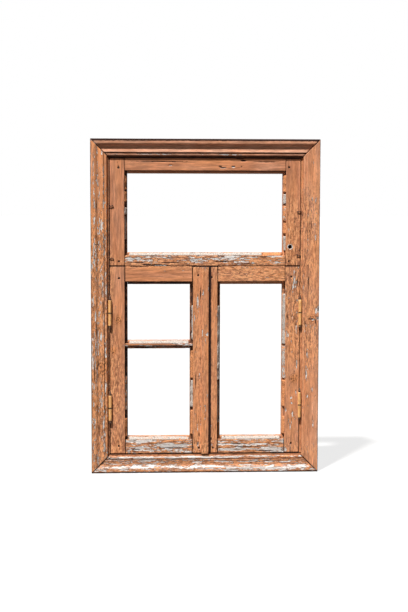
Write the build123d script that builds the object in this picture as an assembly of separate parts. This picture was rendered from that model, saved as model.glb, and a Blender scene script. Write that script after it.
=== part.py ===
from build123d import *
from math import sqrt
import os

# An old outdoor window, in millimetres. X runs to the right as seen from
# outdoors, -Y faces outdoors and +Z is up. The origin is on the underside of
# the box sill, midway along it and midway through its depth.

# The box that stands in the wall
box_width = 745.0
box_height = 1110.0
box_depth = 90.0
box_front = 44.0
box_stop = 28.5
box_tenon_thickness = 20.0
box_tenon_width = 46.0
box_tenon_setback = 12.0
transom_height = 60.0
transom_stub = 18.0
transom_tenon_height = 36.0

# The moulded casing boards on the front of the box, from the outer edge in
casing_thickness = 19.0
casing_arris = 3.0
casing_land = 13.0
casing_ogee = 16.0
casing_slope = 16.5
casing_quirk = 1.5
casing_bead = 10.0
casing_ogee_floor = 8.5
casing_slope_top = 12.0
casing_quirk_floor = 5.5
casing_bead_top = 9.2
casing_inner_edge = 7.0
mitre_gaps = {"top_left": 0.4, "top_right": 1.6, "bottom_left": 0.7, "bottom_right": 1.1}

# The sashes, which close flush into the box
sash_thickness = 38.0
sash_clearance = 1.5
sash_seat_gap = 0.5
joint_height = 696.0
joint_gap = 2.0
meeting_gap = 2.0
hinge_stile = 60.0
meeting_stile = 51.5
top_light_top_rail = 52.0
top_light_bottom_rail = 46.0
casement_top_rail = 62.0
casement_bottom_rail = 58.0
glass_rebate_width = 10.0
glass_rebate_depth = 14.0
sash_tenon_thickness = 12.0
sash_tenon_setback = 10.0
arris_radius = 1.2

# The glazing bar of the left casement
glazing_bar_face = 9.0
glazing_bar_height = 379.0
glazing_bar_stub = 22.0
glazing_bar_tenon_height = 15.0
glazing_bar_tenon_thickness = 9.0

# The cover strip over the meeting of the casements
astragal_width = 24.5
astragal_thickness = 8.0
astragal_overhang = 3.0
astragal_arris = 2.5

# The lift-off hinges
barrel_radius = 5.75
barrel_length = 87.0
barrel_standoff = 0.8
barrel_room = 2.0
knuckle_gap = 1.0
pin_radius = 3.0
pin_clearance = 0.25
pin_length = 34.0
leaf_height = 80.0
leaf_width = 26.0
leaf_thickness = 2.0
leaf_web_reach = 1.6
upper_finial = 17.0
lower_finial = 12.0
finial_foot = 5.1
finial_cove = 2.2
finial_neck = 2.9
finial_bulb = 4.7
finial_shoulder = 5.2
finial_nose = 2.4
finial_tip = 1.4

# From the casement's top or bottom edge to the middle of each hinge
hinge_setbacks = {
    "upper_left": 160.0,
    "upper_right": 159.0,
    "lower_left": 160.0,
    "lower_right": 168.0,
}

# The pegs through the sash corners: distance in from the sash's side edge,
# then distance in from its top or bottom edge
peg_radius = 3.4
top_light_pegs = {
    "top_left": (30.0, 33.0),
    "top_right": (40.0, 30.0),
    "bottom_left": (31.0, 15.0),
    "bottom_right": (39.0, 15.0),
}
left_casement_pegs = {
    "top_left": (31.0, 41.0),
    "top_right": (23.0, 31.0),
    "bottom_left": (28.0, 26.0),
    "bottom_right": (20.0, 18.0),
}
right_casement_pegs = {
    "top_left": (21.0, 38.0),
    "top_right": (29.0, 36.0),
    "bottom_left": (27.0, 18.0),
    "bottom_right": (27.0, 32.0),
}

# The blind hole that an old fitting left in the top light's right stile, by
# its distances in from that sash's right and bottom edges
old_hole_radius = 7.0
old_hole_depth = 18.0
old_hole_inset = (35.0, 65.0)

# Fits, and how far a cut runs past the face that it opens
fit_clearance = 0.2
overcut = 1.0

# Places that follow from the sizes above
face_y = -box_depth / 2
box_rebate = sash_thickness + sash_seat_gap
box_stop_width = box_front + box_stop
opening_margin = box_front + sash_clearance
hinge_line = box_front + sash_clearance / 2
casing_board = casing_land + casing_ogee + casing_slope + casing_quirk + casing_bead
casing_lap = casing_board - (hinge_line - barrel_radius - barrel_room)
casing_width = box_width + 2 * casing_lap

depth_axis = Vector(0, 1, 0)
inward = {
    "left": Vector(1, 0, 0),
    "right": Vector(-1, 0, 0),
    "bottom": Vector(0, 0, 1),
    "top": Vector(0, 0, -1),
}


class FrameEdges:
    """The outer edges of a frame, seen from outdoors."""

    def __init__(self, left, right, bottom, top):
        self.left = left
        self.right = right
        self.bottom = bottom
        self.top = top

    def start(self, side):
        """The corner from which the member on one side runs."""
        x = self.left if side in ("left", "top") else self.right
        z = self.bottom if side in ("left", "bottom") else self.top
        return x, z

    def length(self, side):
        if side in ("left", "right"):
            return self.top - self.bottom
        return self.right - self.left

    def corner(self, name, in_x=0.0, in_z=0.0):
        """A point in from the named corner by the two distances."""
        vertical, horizontal = name.split("_")
        x = self.left + in_x if horizontal == "left" else self.right - in_x
        z = self.bottom + in_z if vertical == "bottom" else self.top - in_z
        return x, z


box_edges = FrameEdges(-box_width / 2, box_width / 2, 0.0, box_height)
casing_edges = FrameEdges(-casing_width / 2, casing_width / 2, -casing_lap, box_height + casing_lap)
sash_side = box_width / 2 - opening_margin
top_light_edges = FrameEdges(
    -sash_side, sash_side, joint_height + joint_gap / 2, box_height - opening_margin
)
left_casement_edges = FrameEdges(
    -sash_side, -meeting_gap / 2, opening_margin, joint_height - joint_gap / 2
)
right_casement_edges = FrameEdges(
    meeting_gap / 2, sash_side, opening_margin, joint_height - joint_gap / 2
)


def place(shape, side, corner):
    """Lays a member made in (across, depth, run) against one side of a frame."""
    across = inward[side]
    x, z = corner
    run = across.cross(depth_axis)
    return Plane(origin=(x, face_y, z), x_dir=across, z_dir=run) * shape


def block(across, depth, run):
    """A rectangular solid between pairs of limits along the three axes."""
    size = [pair[1] - pair[0] for pair in (across, depth, run)]
    middle = [(pair[1] + pair[0]) / 2 for pair in (across, depth, run)]
    return Pos(*middle) * Box(*size)


def rebated_section(width, face, rebate, thickness):
    """An L section: a face of one width in front, the full width behind."""
    outline = Polyline(
        (0, 0), (face, 0), (face, rebate), (width, rebate), (width, thickness), (0, thickness), close=True
    )
    section = make_face(outline)
    worn = [v for v in section.vertices() if (v.X, v.Y) != (face, rebate)]
    return fillet(worn, arris_radius)


def sash_section(width):
    return rebated_section(width, width - glass_rebate_width, glass_rebate_depth, sash_thickness)


def box_section():
    return rebated_section(box_stop_width, box_front, box_rebate, box_depth)


def bar_section():
    """A T section, rebated for glass above and below."""
    width = glazing_bar_face + 2 * glass_rebate_width
    low = glass_rebate_width
    high = low + glazing_bar_face
    outline = Polyline(
        (0, glass_rebate_depth), (low, glass_rebate_depth), (low, 0), (high, 0),
        (high, glass_rebate_depth), (width, glass_rebate_depth), (width, sash_thickness),
        (0, sash_thickness), close=True,
    )
    section = make_face(outline)
    inner = ((low, glass_rebate_depth), (high, glass_rebate_depth))
    worn = [v for v in section.vertices() if (v.X, v.Y) not in inner]
    return fillet(worn, arris_radius)


def shouldered_member(section, length, near, far, rebate, thickness):
    """A member between two others, its front shoulders long and its back ones short.

    near and far give the face width and the full width of the members at its ends.
    """
    member = extrude(Pos(0, 0, near[0]) * section, amount=length - near[0] - far[0])
    across = (-overcut, section.bounding_box().max.X + overcut)
    depth = (rebate, thickness + overcut)
    for run in ((near[0] - overcut, near[1]), (length - far[1], length - far[0] + overcut)):
        member -= block(across, depth, run)
    return member


def tenon(across, depth, run, clearance=0.0):
    """A tenon, or the mortise that takes it when it is given a clearance."""
    grown = [(pair[0] - clearance, pair[1] + clearance) for pair in (across, depth)]
    return block(grown[0], grown[1], run)


def frame_widths(width):
    """Face width and full width of a sash member."""
    return width - glass_rebate_width, width


def sash_tenon(width, length, clearance=0.0):
    across = (sash_tenon_setback, width - glass_rebate_width)
    depth = (glass_rebate_depth, glass_rebate_depth + sash_tenon_thickness)
    return tenon(across, depth, (0, length), clearance)


def box_tenon(length, clearance=0.0):
    across = (box_tenon_setback, box_tenon_setback + box_tenon_width)
    middle = (box_rebate + box_depth) / 2
    depth = (middle - box_tenon_thickness / 2, middle + box_tenon_thickness / 2)
    return tenon(across, depth, (0, length), clearance)


def dowel(x, z, radius, depth_from, depth_to):
    """A round bar along Y, between two depths behind the sash face."""
    length = depth_to - depth_from
    turned = Rot(-90, 0, 0) * Cylinder(radius, length)
    return Pos(x, face_y + depth_from + length / 2, z) * turned


def peg_places(edges, pegs):
    return [edges.corner(corner, *inset) for corner, inset in pegs.items()]


def bore_for_pegs(shape, edges, pegs):
    for x, z in peg_places(edges, pegs):
        shape -= dowel(x, z, peg_radius + fit_clearance, -overcut, sash_thickness + overcut)
    return shape


def make_pegs(edges, pegs):
    dowels = [dowel(x, z, peg_radius, 0, sash_thickness) for x, z in peg_places(edges, pegs)]
    return Compound(children=dowels)


def make_sash(edges, stiles, rails, pegs):
    """The four members of a sash by side: through-tenoned rails between mortised stiles."""
    members = {}
    for side, width in stiles.items():
        stile = place(extrude(sash_section(width), amount=edges.length(side)), side, edges.start(side))
        for rail_side, rail_width in rails.items():
            mortise = sash_tenon(rail_width, edges.length(rail_side), fit_clearance)
            stile -= place(mortise, rail_side, edges.start(rail_side))
        members[side] = bore_for_pegs(stile, edges, pegs)
    ends = {"top": ("left", "right"), "bottom": ("right", "left")}
    for side, width in rails.items():
        near, far = [frame_widths(stiles[end]) for end in ends[side]]
        length = edges.length(side)
        rail = shouldered_member(
            sash_section(width), length, near, far, glass_rebate_depth, sash_thickness
        )
        rail += sash_tenon(width, length)
        members[side] = bore_for_pegs(place(rail, side, edges.start(side)), edges, pegs)
    return members


def make_top_light():
    stiles = {"left": hinge_stile, "right": hinge_stile}
    rails = {"top": top_light_top_rail, "bottom": top_light_bottom_rail}
    members = make_sash(top_light_edges, stiles, rails, top_light_pegs)
    x, z = top_light_edges.corner("bottom_right", *old_hole_inset)
    members["right"] -= dowel(x, z, old_hole_radius, -overcut, old_hole_depth)
    return members


def glazing_bar_corner():
    """Where the bar's lower edge meets the casement's right edge."""
    half = glazing_bar_face / 2 + glass_rebate_width
    return left_casement_edges.right, left_casement_edges.bottom + glazing_bar_height - half


def glazing_bar_tenons(clearance=0.0):
    length = left_casement_edges.length("bottom")
    middle = glazing_bar_face / 2 + glass_rebate_width
    across = (middle - glazing_bar_tenon_height / 2, middle + glazing_bar_tenon_height / 2)
    centre = (glass_rebate_depth + sash_thickness) / 2
    depth = (centre - glazing_bar_tenon_thickness / 2, centre + glazing_bar_tenon_thickness / 2)
    run = (meeting_stile - glazing_bar_stub - clearance, length - hinge_stile + glazing_bar_stub + clearance)
    return tenon(across, depth, run, clearance)


def make_left_casement():
    stiles = {"left": hinge_stile, "right": meeting_stile}
    rails = {"top": casement_top_rail, "bottom": casement_bottom_rail}
    members = make_sash(left_casement_edges, stiles, rails, left_casement_pegs)
    mortise = place(glazing_bar_tenons(fit_clearance), "bottom", glazing_bar_corner())
    for side in stiles:
        members[side] -= mortise
    near, far = frame_widths(meeting_stile), frame_widths(hinge_stile)
    length = left_casement_edges.length("bottom")
    bar = shouldered_member(bar_section(), length, near, far, glass_rebate_depth, sash_thickness)
    bar += glazing_bar_tenons()
    members["bar"] = place(bar, "bottom", glazing_bar_corner())
    return members


def make_right_casement():
    stiles = {"left": meeting_stile, "right": hinge_stile}
    rails = {"top": casement_top_rail, "bottom": casement_bottom_rail}
    return make_sash(right_casement_edges, stiles, rails, right_casement_pegs)


def make_box():
    """Head and sill from side to side, with the jambs tenoned through them."""
    widths = (box_front, box_stop_width)
    members = {}
    for side in ("top", "bottom"):
        member = place(extrude(box_section(), amount=box_width), side, box_edges.start(side))
        for jamb in ("left", "right"):
            mortise = box_tenon(box_height, fit_clearance)
            member -= place(mortise, jamb, box_edges.start(jamb))
        members[side] = member
    for side in ("left", "right"):
        jamb = shouldered_member(box_section(), box_height, widths, widths, box_rebate, box_depth)
        jamb += box_tenon(box_height)
        jamb = place(jamb, side, box_edges.start(side))
        members[side] = jamb - transom_tenons(fit_clearance)
    return members


def transom_tenons(clearance=0.0):
    """The stub tenons at both ends of the transom, as one bar."""
    half_length = box_width / 2 - box_stop_width + transom_stub + clearance
    half_height = transom_tenon_height / 2 + clearance
    middle = face_y + (box_rebate + box_depth) / 2
    half_depth = box_tenon_thickness / 2 + clearance
    return block(
        (-half_length, half_length),
        (middle - half_depth, middle + half_depth),
        (joint_height - half_height, joint_height + half_height),
    )


def make_transom():
    """The bar of the box behind the joint between top light and casements."""
    half = transom_height / 2
    section = RectangleRounded(box_depth - box_rebate, transom_height, arris_radius)
    half_span = box_width / 2 - box_stop_width
    middle = (face_y + (box_rebate + box_depth) / 2, joint_height)
    plane = Plane(origin=(-half_span, *middle), x_dir=(0, 1, 0), z_dir=(1, 0, 0))
    return extrude(plane * section, amount=2 * half_span) + transom_tenons()


def casing_section():
    """Rounded land, ogee, gentle slope, quirk and bead, over a flat back."""
    ogee_end = casing_land + casing_ogee
    ogee_middle = (casing_land + casing_ogee / 2, (casing_thickness + casing_ogee_floor) / 2)
    slope_end = ogee_end + casing_slope
    bead_start = slope_end + casing_quirk
    with BuildLine() as line:
        back = Polyline(
            (casing_board, casing_inner_edge), (casing_board, 0), (0, 0), (0, casing_thickness - casing_arris)
        )
        arris = TangentArc(back @ 1, (casing_arris, casing_thickness), tangent=(0, 1))
        land = Line(arris @ 1, (casing_land, casing_thickness))
        shoulder = TangentArc(land @ 1, ogee_middle, tangent=(1, 0))
        hollow = TangentArc(shoulder @ 1, (ogee_end, casing_ogee_floor), tangent=shoulder % 1)
        slope = TangentArc(hollow @ 1, (slope_end, casing_slope_top), tangent=hollow % 1)
        quirk = Polyline(slope @ 1, (slope_end, casing_quirk_floor), (bead_start, casing_quirk_floor))
        ThreePointArc(
            quirk @ 1, ((bead_start + casing_board) / 2, casing_bead_top), (casing_board, casing_inner_edge)
        )
    return make_face(line.line)


def mitre_plan(side):
    """The outline of a casing board seen from the front, mitred at both ends."""
    ends = {
        "left": ("bottom_left", "top_left"),
        "right": ("top_right", "bottom_right"),
        "bottom": ("bottom_right", "bottom_left"),
        "top": ("top_left", "top_right"),
    }
    near, far = [mitre_gaps[end] / sqrt(2) for end in ends[side]]
    length = casing_edges.length(side)
    outline = Polyline(
        (0, near), (casing_board, casing_board + near),
        (casing_board, length - casing_board - far), (0, length - far), close=True,
    )
    return make_face(outline)


def make_casing_board(side):
    """One board: the moulding run to length, then cut to its mitred plan."""
    length = casing_edges.length(side)
    moulding = extrude(mirror(casing_section(), Plane.XZ), amount=length)
    plan = Plane(origin=(0, 0, 0), x_dir=(1, 0, 0), z_dir=(0, -1, 0)) * mitre_plan(side)
    prism = extrude(plan, amount=casing_thickness + overcut)
    return place(moulding & prism, side, casing_edges.start(side))


def make_astragal():
    """A flat strip with rounded front arrises, over the casements' meeting."""
    section = make_face(
        Polyline(
            (-astragal_width / 2, 0), (-astragal_width / 2, -astragal_thickness),
            (astragal_width / 2, -astragal_thickness), (astragal_width / 2, 0), close=True,
        )
    )
    front = section.vertices().group_by(Axis.Y)[0]
    section = fillet(front, astragal_arris)
    bottom = left_casement_edges.bottom - astragal_overhang
    strip = extrude(section, amount=left_casement_edges.top - bottom)
    return Pos(0, face_y, bottom) * strip


def finial(height):
    """A turned knob on the end of a knuckle: neck, shoulder and long tapered nose."""
    profile = make_face(
        Polyline(
            (0, 0), (finial_foot, 0), (finial_neck, finial_cove), (finial_bulb, finial_shoulder),
            (finial_nose, height - finial_tip), (0, height), close=True,
        )
    )
    return revolve(Plane.XZ * profile, Axis.Z)


def hinge_half(upper, leaf_side):
    """Half a hinge around a vertical axis at the origin, the wood behind it at +Y.

    The leaf lies on the +X side of the axis when leaf_side is 1, else on the -X side.
    """
    length = (barrel_length - knuckle_gap) / 2
    wood = barrel_radius + barrel_standoff
    start = knuckle_gap / 2 if upper else -knuckle_gap / 2 - length
    knuckle = Pos(0, 0, start + length / 2) * Cylinder(barrel_radius, length)
    near = sash_clearance / 2
    leaf_x = sorted((leaf_side * near, leaf_side * (near + leaf_thickness)))
    leaf = block(leaf_x, (wood, wood + leaf_width), (-leaf_height / 2, leaf_height / 2))
    web_z = [knuckle_gap / 2, min(leaf_height, barrel_length) / 2]
    if not upper:
        web_z = [-web_z[1], -web_z[0]]
    web = block(leaf_x, (barrel_radius - leaf_web_reach, wood), web_z)
    half = knuckle + web + leaf
    if upper:
        half += Pos(0, 0, start + length) * finial(upper_finial)
        bore_depth = knuckle_gap / 2 + pin_length + pin_clearance
        bore = Cylinder(pin_radius + pin_clearance, bore_depth + overcut)
        return half - Pos(0, 0, (bore_depth - overcut) / 2) * bore
    half += Pos(0, 0, start) * (Rot(180, 0, 0) * finial(lower_finial))
    pin = Cylinder(pin_radius, pin_length + barrel_radius)
    return half + Pos(0, 0, (pin_length - barrel_radius) / 2) * pin


def hinge_places(side):
    """Name and height of the middle of each hinge on one side."""
    places = {}
    for name, setback in hinge_setbacks.items():
        if name.endswith(side):
            upper = name.startswith("upper")
            low, high = left_casement_edges.bottom, left_casement_edges.top
            places[name] = high - setback if upper else low + setback
    return places


def hinge_gain(side, height, on_sash):
    """The recess that a hinge leaf lies in, in the sash edge or the box."""
    edge = sash_side if on_sash else sash_side + sash_clearance
    sunk = leaf_thickness + fit_clearance
    across = (edge - sunk, edge) if on_sash else (edge, edge + sunk)
    if side == "left":
        across = (-across[1], -across[0])
    reach = leaf_height / 2 + fit_clearance
    depth = (face_y - overcut, face_y + leaf_width + fit_clearance)
    return block(across, depth, (height - reach, height + reach))


def make_hinges():
    """Both halves of each hinge: the pin half on the box, the sleeve half on the sash."""
    halves = {}
    axis_y = face_y - barrel_radius - barrel_standoff
    for side, towards_sash in (("left", 1), ("right", -1)):
        axis_x = -towards_sash * (box_width / 2 - hinge_line)
        for name, height in hinge_places(side).items():
            place_on_axis = Pos(axis_x, axis_y, height)
            halves["hinge_" + name + "_pin_half"] = place_on_axis * hinge_half(False, -towards_sash)
            halves["hinge_" + name + "_sleeve_half"] = place_on_axis * hinge_half(True, towards_sash)
    return halves


def let_in_hinges(member, side, on_sash):
    for height in hinge_places(side).values():
        member -= hinge_gain(side, height, on_sash)
    return member


def build_nodes():
    """Every piece of the window by its node name."""
    box = make_box()
    top_light = make_top_light()
    left = make_left_casement()
    right = make_right_casement()
    for side in ("left", "right"):
        box[side] = let_in_hinges(box[side], side, False)
    left["left"] = let_in_hinges(left["left"], "left", True)
    right["right"] = let_in_hinges(right["right"], "right", True)
    nodes = {
        "box_head": box["top"],
        "box_sill": box["bottom"],
        "box_jamb_left": box["left"],
        "box_jamb_right": box["right"],
        "box_transom": make_transom(),
        "top_light_top_rail": top_light["top"],
        "top_light_bottom_rail": top_light["bottom"],
        "top_light_stile_left": top_light["left"],
        "top_light_stile_right": top_light["right"],
        "top_light_pegs": make_pegs(top_light_edges, top_light_pegs),
        "left_casement_top_rail": left["top"],
        "left_casement_bottom_rail": left["bottom"],
        "left_casement_hinge_stile": left["left"],
        "left_casement_meeting_stile": left["right"],
        "left_casement_glazing_bar": left["bar"],
        "left_casement_pegs": make_pegs(left_casement_edges, left_casement_pegs),
        "right_casement_top_rail": right["top"],
        "right_casement_bottom_rail": right["bottom"],
        "right_casement_meeting_stile": right["left"],
        "right_casement_hinge_stile": right["right"],
        "right_casement_pegs": make_pegs(right_casement_edges, right_casement_pegs),
        "astragal": make_astragal(),
    }
    for side in inward:
        nodes["casing_" + side] = make_casing_board(side)
    nodes.update(make_hinges())
    return nodes


os.makedirs("parts", exist_ok=True)
for node, shape in build_nodes().items():
    export_step(shape, "parts/" + node + ".step")
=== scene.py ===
import itertools
import math

import bmesh
import bpy
import numpy as np
from bpy.props import FloatProperty, FloatVectorProperty, IntProperty, PointerProperty
from mathutils import Euler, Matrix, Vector


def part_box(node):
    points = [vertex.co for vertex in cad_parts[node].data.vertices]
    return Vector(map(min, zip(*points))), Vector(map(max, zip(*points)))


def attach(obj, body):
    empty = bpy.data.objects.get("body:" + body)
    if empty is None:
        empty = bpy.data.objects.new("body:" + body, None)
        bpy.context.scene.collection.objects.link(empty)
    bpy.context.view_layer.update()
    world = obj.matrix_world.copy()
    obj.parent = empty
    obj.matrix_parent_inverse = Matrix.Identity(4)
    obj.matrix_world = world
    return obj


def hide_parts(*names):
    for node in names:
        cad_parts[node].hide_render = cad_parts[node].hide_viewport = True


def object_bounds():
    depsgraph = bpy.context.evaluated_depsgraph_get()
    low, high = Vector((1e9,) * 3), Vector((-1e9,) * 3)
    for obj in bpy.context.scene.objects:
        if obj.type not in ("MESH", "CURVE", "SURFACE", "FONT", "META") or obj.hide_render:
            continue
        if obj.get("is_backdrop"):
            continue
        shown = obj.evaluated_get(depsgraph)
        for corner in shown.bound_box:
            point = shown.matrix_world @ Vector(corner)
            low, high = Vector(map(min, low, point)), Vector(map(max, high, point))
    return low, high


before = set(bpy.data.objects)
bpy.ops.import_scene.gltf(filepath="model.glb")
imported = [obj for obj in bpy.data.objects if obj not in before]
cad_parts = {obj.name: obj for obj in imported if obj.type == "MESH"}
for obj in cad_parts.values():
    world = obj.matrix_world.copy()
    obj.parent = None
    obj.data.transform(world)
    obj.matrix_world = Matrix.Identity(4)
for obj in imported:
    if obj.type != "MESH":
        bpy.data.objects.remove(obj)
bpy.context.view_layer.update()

bl_info = {
    "name": "Old window frame",
    "version": (1, 0, 0),
    "blender": (4, 5, 0),
    "location": "3D View > Sidebar > Window",
    "description": "Weathered timber, flaking paint and ironwork around a packed window frame",
    "category": "Object",
}

MM = 0.001
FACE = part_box("left_casement_hinge_stile")[0].y
SASH_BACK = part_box("left_casement_hinge_stile")[1].y
BOX_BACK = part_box("box_sill")[1].y
ACROSS = {"left": (1, 0, 0), "right": (-1, 0, 0), "bottom": (0, 0, 1), "top": (0, 0, -1)}

# Where paint has come off along the grain, and where bared ground paints a highlight along the top bead, in
# millimetres on the window's front:
# across, height, half width, half height, and how much is gone
WORN_CASING = [
    (-379, 856, 2.8, 17, .4), (-355, 835, 4.8, 31, .45), (-345, 912, 2.8, 4, .6), (-360, 1030, 2, 3, .6),
    (-380, 713, 2.8, 27, .45), (-357, 685, 3.4, 17, .4), (-386, 583, 2.8, 24, .5), (-358, 449, 2.8, 27, .6),
    (-348, 498, 2.4, 9, .5), (-340, 607, 2.1, 9, .6), (-342, 672, 2.4, 9, .4), (-384, 227, 2.4, 14, .55),
    (-377, 182, 2.4, 20, .4), (-356, 272, 2.8, 20, .5), (-344, 276, 2.8, 24, .5), (-387, 175, 2.8, 17, .45),
    (-345, 114, 3.4, 10, .5), (-346, 74, 2.8, 20, .5), (-374, 404, 5.2, 17, .25), (-364, 754, 6.9, 27, .2),
    (334, 936, 3.1, 15, .45), (-352, 620, 2.4, 26, .45), (-376, 520, 2.6, 34, .4), (-366, 440, 2.2, 26, .35),
    (-372, 340, 2.4, 30, .35), (-350, 150, 2.4, 26, .4), (-378, 90, 2.4, 22, .4), (353, 826, 2.4, 14, .55),
    (376, 543, 8.6, 20, .4), (352, 391, 2.8, 14, .5), (348, 485, 4.8, 14, .35), (349, 323, 4.5, 20, .55),
    (372, 272, 2.1, 17, .5), (355, 244, 4.5, 10, .5), (358, 211, 2.1, 10, .5), (375, 141, 2.4, 10, .4),
    # The last two spots of the next row bare the ground on the top board's bead as a painted highlight along its crest
    (336, 613, 2.8, 20, .35), (346, 682, 3.4, 20, .2), (-170, 1078, 150, 4, .6), (60, 1077, 130, 3.5, .52),
    (-40, 1090, 220, 2.0, .2), (-194, 34, 155, 2.6, .5), (118, 34, 172, 2.2, .42), (-229, 27, 86, 4.1, .42),
    (-90, 2, 206, 4.6, .36), (-298, 0, 41, 5.2, .5), (188, -3, 155, 4.0, .3), (328, 2, 27, 6.9, .5),
    (83, 17, 206, 2.8, .25),
]
WORN_SASHES = [
    (-257, 718, 14, 7, .5), (-228, 722, 10, 4, .5), (-139, 728, 34, 3.4, .3), (-39, 716, 34, 7.6, .5),
    (85, 725, 89, 9, .45), (119, 710, 41, 5.2, .3), (226, 730, 45, 3.4, .3), (-139, 678, 27, 4.5, .55),
    (-77, 683, 15, 3.8, .5), (-190, 691, 34, 2.1, .2), (-173, 725, 103, 10, .2), (-26, 576, 2.4, 27, .55),
    (-38, 524, 3.1, 17, .4), (-9, 463, 2.1, 20, .45), (-19, 378, 2.4, 14, .5), (-19, 312, 2.4, 24, .5),
    (-27, 135, 2.8, 17, .55), (5, 460, 6.9, 2.8, .7), (23, 659, 3.4, 3.4, .5), (21, 142, 2.4, 14, .6),
    (24, 77, 2.8, 10, .6), (307, 678, 2.8, 9, .55), (308, 636, 8.3, 20, .42), (303, 626, 2.8, 10, .3),
    (316, 475, 3.1, 27, .5), (288, 459, 2.1, 7, .6), (323, 388, 2.4, 10, .5), (300, 238, 2.4, 3, .8),
    (303, 219, 2.8, 3.4, .8), (304, 184, 2.8, 14, .55), (297, 137, 2.1, 14, .5), (283, 56, 2.8, 10, .5),
    (297, 438, 3.4, 34, .25), (315, 87, 3.4, 20, .3), (-298, 231, 2.1, 12, .5), (-282, 419, 2.8, 27, .35),
    (-301, 81, 4.1, 17, .3), (-301, 512, 6.9, 14, .2), (-211, 90, 48, 5.5, .55), (-124, 72, 55, 6.2, .5),
    (-228, 66, 34, 6.9, .45), (-176, 55, 69, 4.1, .4), (-72, 78, 20, 6.9, .3), (-246, 94, 14, 6.9, .5),
    (119, 58, 41, 4.8, .5), (231, 60, 41, 5.5, .5), (172, 75, 41, 4.1, .4), (92, 55, 34, 4.1, .4),
    (57, 87, 14, 3.4, .4), (266, 49, 10, 5.2, .55), (-164, 421, 103, 3.1, .5),
]
# Where the paint has crazed, in the same order; the rest of it lies smooth
CRAZED = [
    (-364, 300, 40, 480, .9), (-364, 620, 40, 240, .8), (360, 850, 40, 120, .55), (360, 480, 40, 160, .6),
    (300, 800, 30, 180, .6), (-300, 240, 36, 240, .55), (0, 710, 340, 26, .8), (0, 60, 400, 34, .6),
    (160, 665, 130, 30, .7), (300, 560, 40, 160, .6), (-25, 350, 30, 300, .35), (30, 250, 26, 200, .3),
]
# Bites out of an edge: across, height, half width, half height and depth
CHIPS = [
    (-197, 699, 22, 3.6, 4.0), (-160, 700, 30, 2.2, 2.5), (230, 733, 36, 2.0, 3.0), (371, 512, 9, 3, 1.6),
    (-25, 77, 4, 9, 2.2), (60, 1032, 12, 2.5, 2.5), (96, 1036, 6, 4, 3.0), (-120, 1040, 8, 2.5, 2.0),
    (389, 548, 4, 14, 1.8), (388, 515, 4, 6, 1.8), (270, 51, 5, 6, 1.6), (-330, 28, 6, 4, 1.5),
    (349, 323, 3, 12, 1.2), (-160, 420, 26, 3, 2.0), (-271, 884, 3, 4, 2.5), (318, 356, 3, 20, 1.2),
    (281, 195, 3, 8, 2.5), (-60, 743, 40, 2, 1.6), (-20, 62, 3, 5, 1.5), (392, 300, 3, 30, 1.0),
    (-392, 420, 2.5, 30, 1.2), (-392, 180, 2.5, 40, 1.2), (-391, 700, 2.5, 20, 1.0),
]
# Dents and splits, darkened with dirt and painted shade, in the same order
DENTS = [
    (50, 1037, 6.5, 2.6, 1.6), (123, 1037, 3.4, 2.6, 1.6), (-155, 1053, 105, 2.0, 1.0), (210, 1053, 52, 2.0, 1.0),
    (129, 1057, 10, 4.5, 2.0), (118, 1064, 16, 2.4, 1.5), (-225, 694, 38, 3.0, 2.0), (-190, 699, 20, 2.6, 1.5),
    (207, 727, 28, 2.4, 1.6), (20, 695, 70, 2.0, 1.2), (-120, 708, 40, 2.0, 1.2), (60, 712, 40, 1.9, 1.2),
    (-230, 708, 26, 2.0, 1.0), (140, 703, 50, 2.0, 1.0), (-190, 78, 40, 1.9, 1.2), (-110, 64, 60, 1.8, 1.0),
    (-240, 60, 22, 1.8, 1.0), (140, 66, 60, 1.8, 1.0), (210, 52, 50, 1.8, 1.0), (110, 78, 30, 1.8, 1.0),
    (-100, 420, 30, 2.2, 1.6), (-235, 420, 34, 2.2, 1.4), (-215, 414, 50, 1.9, 1.2), (318, 640, 2.2, 18, 1.0),
    (284, 520, 2.0, 14, 1.0), (-16, 600, 1.9, 30, 1.0), (-32, 300, 1.9, 34, 1.0), (-20, 110, 2.6, 7, 1.6),
    (22, 96, 2.6, 7, 1.6), (345, 500, 2.4, 9, 1.4), (366, 514, 12, 1.9, 1.2), (380, 505, 2.2, 10, 1.2),
    (-350, 560, 2.2, 26, 1.0), (-372, 480, 2.0, 30, 1.0), (-380, 330, 2.0, 34, 1.0), (-346, 200, 2.2, 26, 1.0),
    (-366, 130, 2.0, 30, 1.0), (-372, 770, 12, 1.9, 0.8), (-300, 1049, 2.6, 2.6, 1.6), (-297, 1037, 3.0, 2.6, 1.6),
    (312, 860, 1.9, 2.4, 0.9), (306, 848, 1.9, 3.0, 0.9), (300, 905, 1.9, 3.0, 0.9), (-372, 900, 1.9, 20, 0.7),
    (355, 640, 1.9, 26, 0.8),
]
# Knots: across, height and radius
KNOTS = [(-358, 348, 21), (307, 306, 13), (-299, 512, 12), (-316, 405, 10), (369, 514, 13)]
# The empty hole of a lost fitting in the top light's right stile, and small nail holes: across, height, radius
OLD_HOLE = (292, 762, 6.6)
NAIL_HOLES = [(-298, 257, 1.5), (-298, 243, 1.4), (-295, 228, 1.6), (-297, 163, 1.3)]
# The bent nails that hold the top light: across, height and turn
BENT_NAILS = [(-330.5, 724.5, 0.12), (-330.5, 899, -0.3), (329.5, 731, math.pi + 0.25), (330.5, 883, math.pi)]
# The heads of the casing's nails: across and height
NAIL_HEADS = [
    (-385, 95), (-385, 390), (-385, 660), (-385, 920), (-385, 1119), (385, 120), (385, 420), (385, 690),
    (385, 960), (-180, 1121), (60, 1121), (290, 1121), (-200, -12), (40, -12), (250, -12),
]
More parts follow.
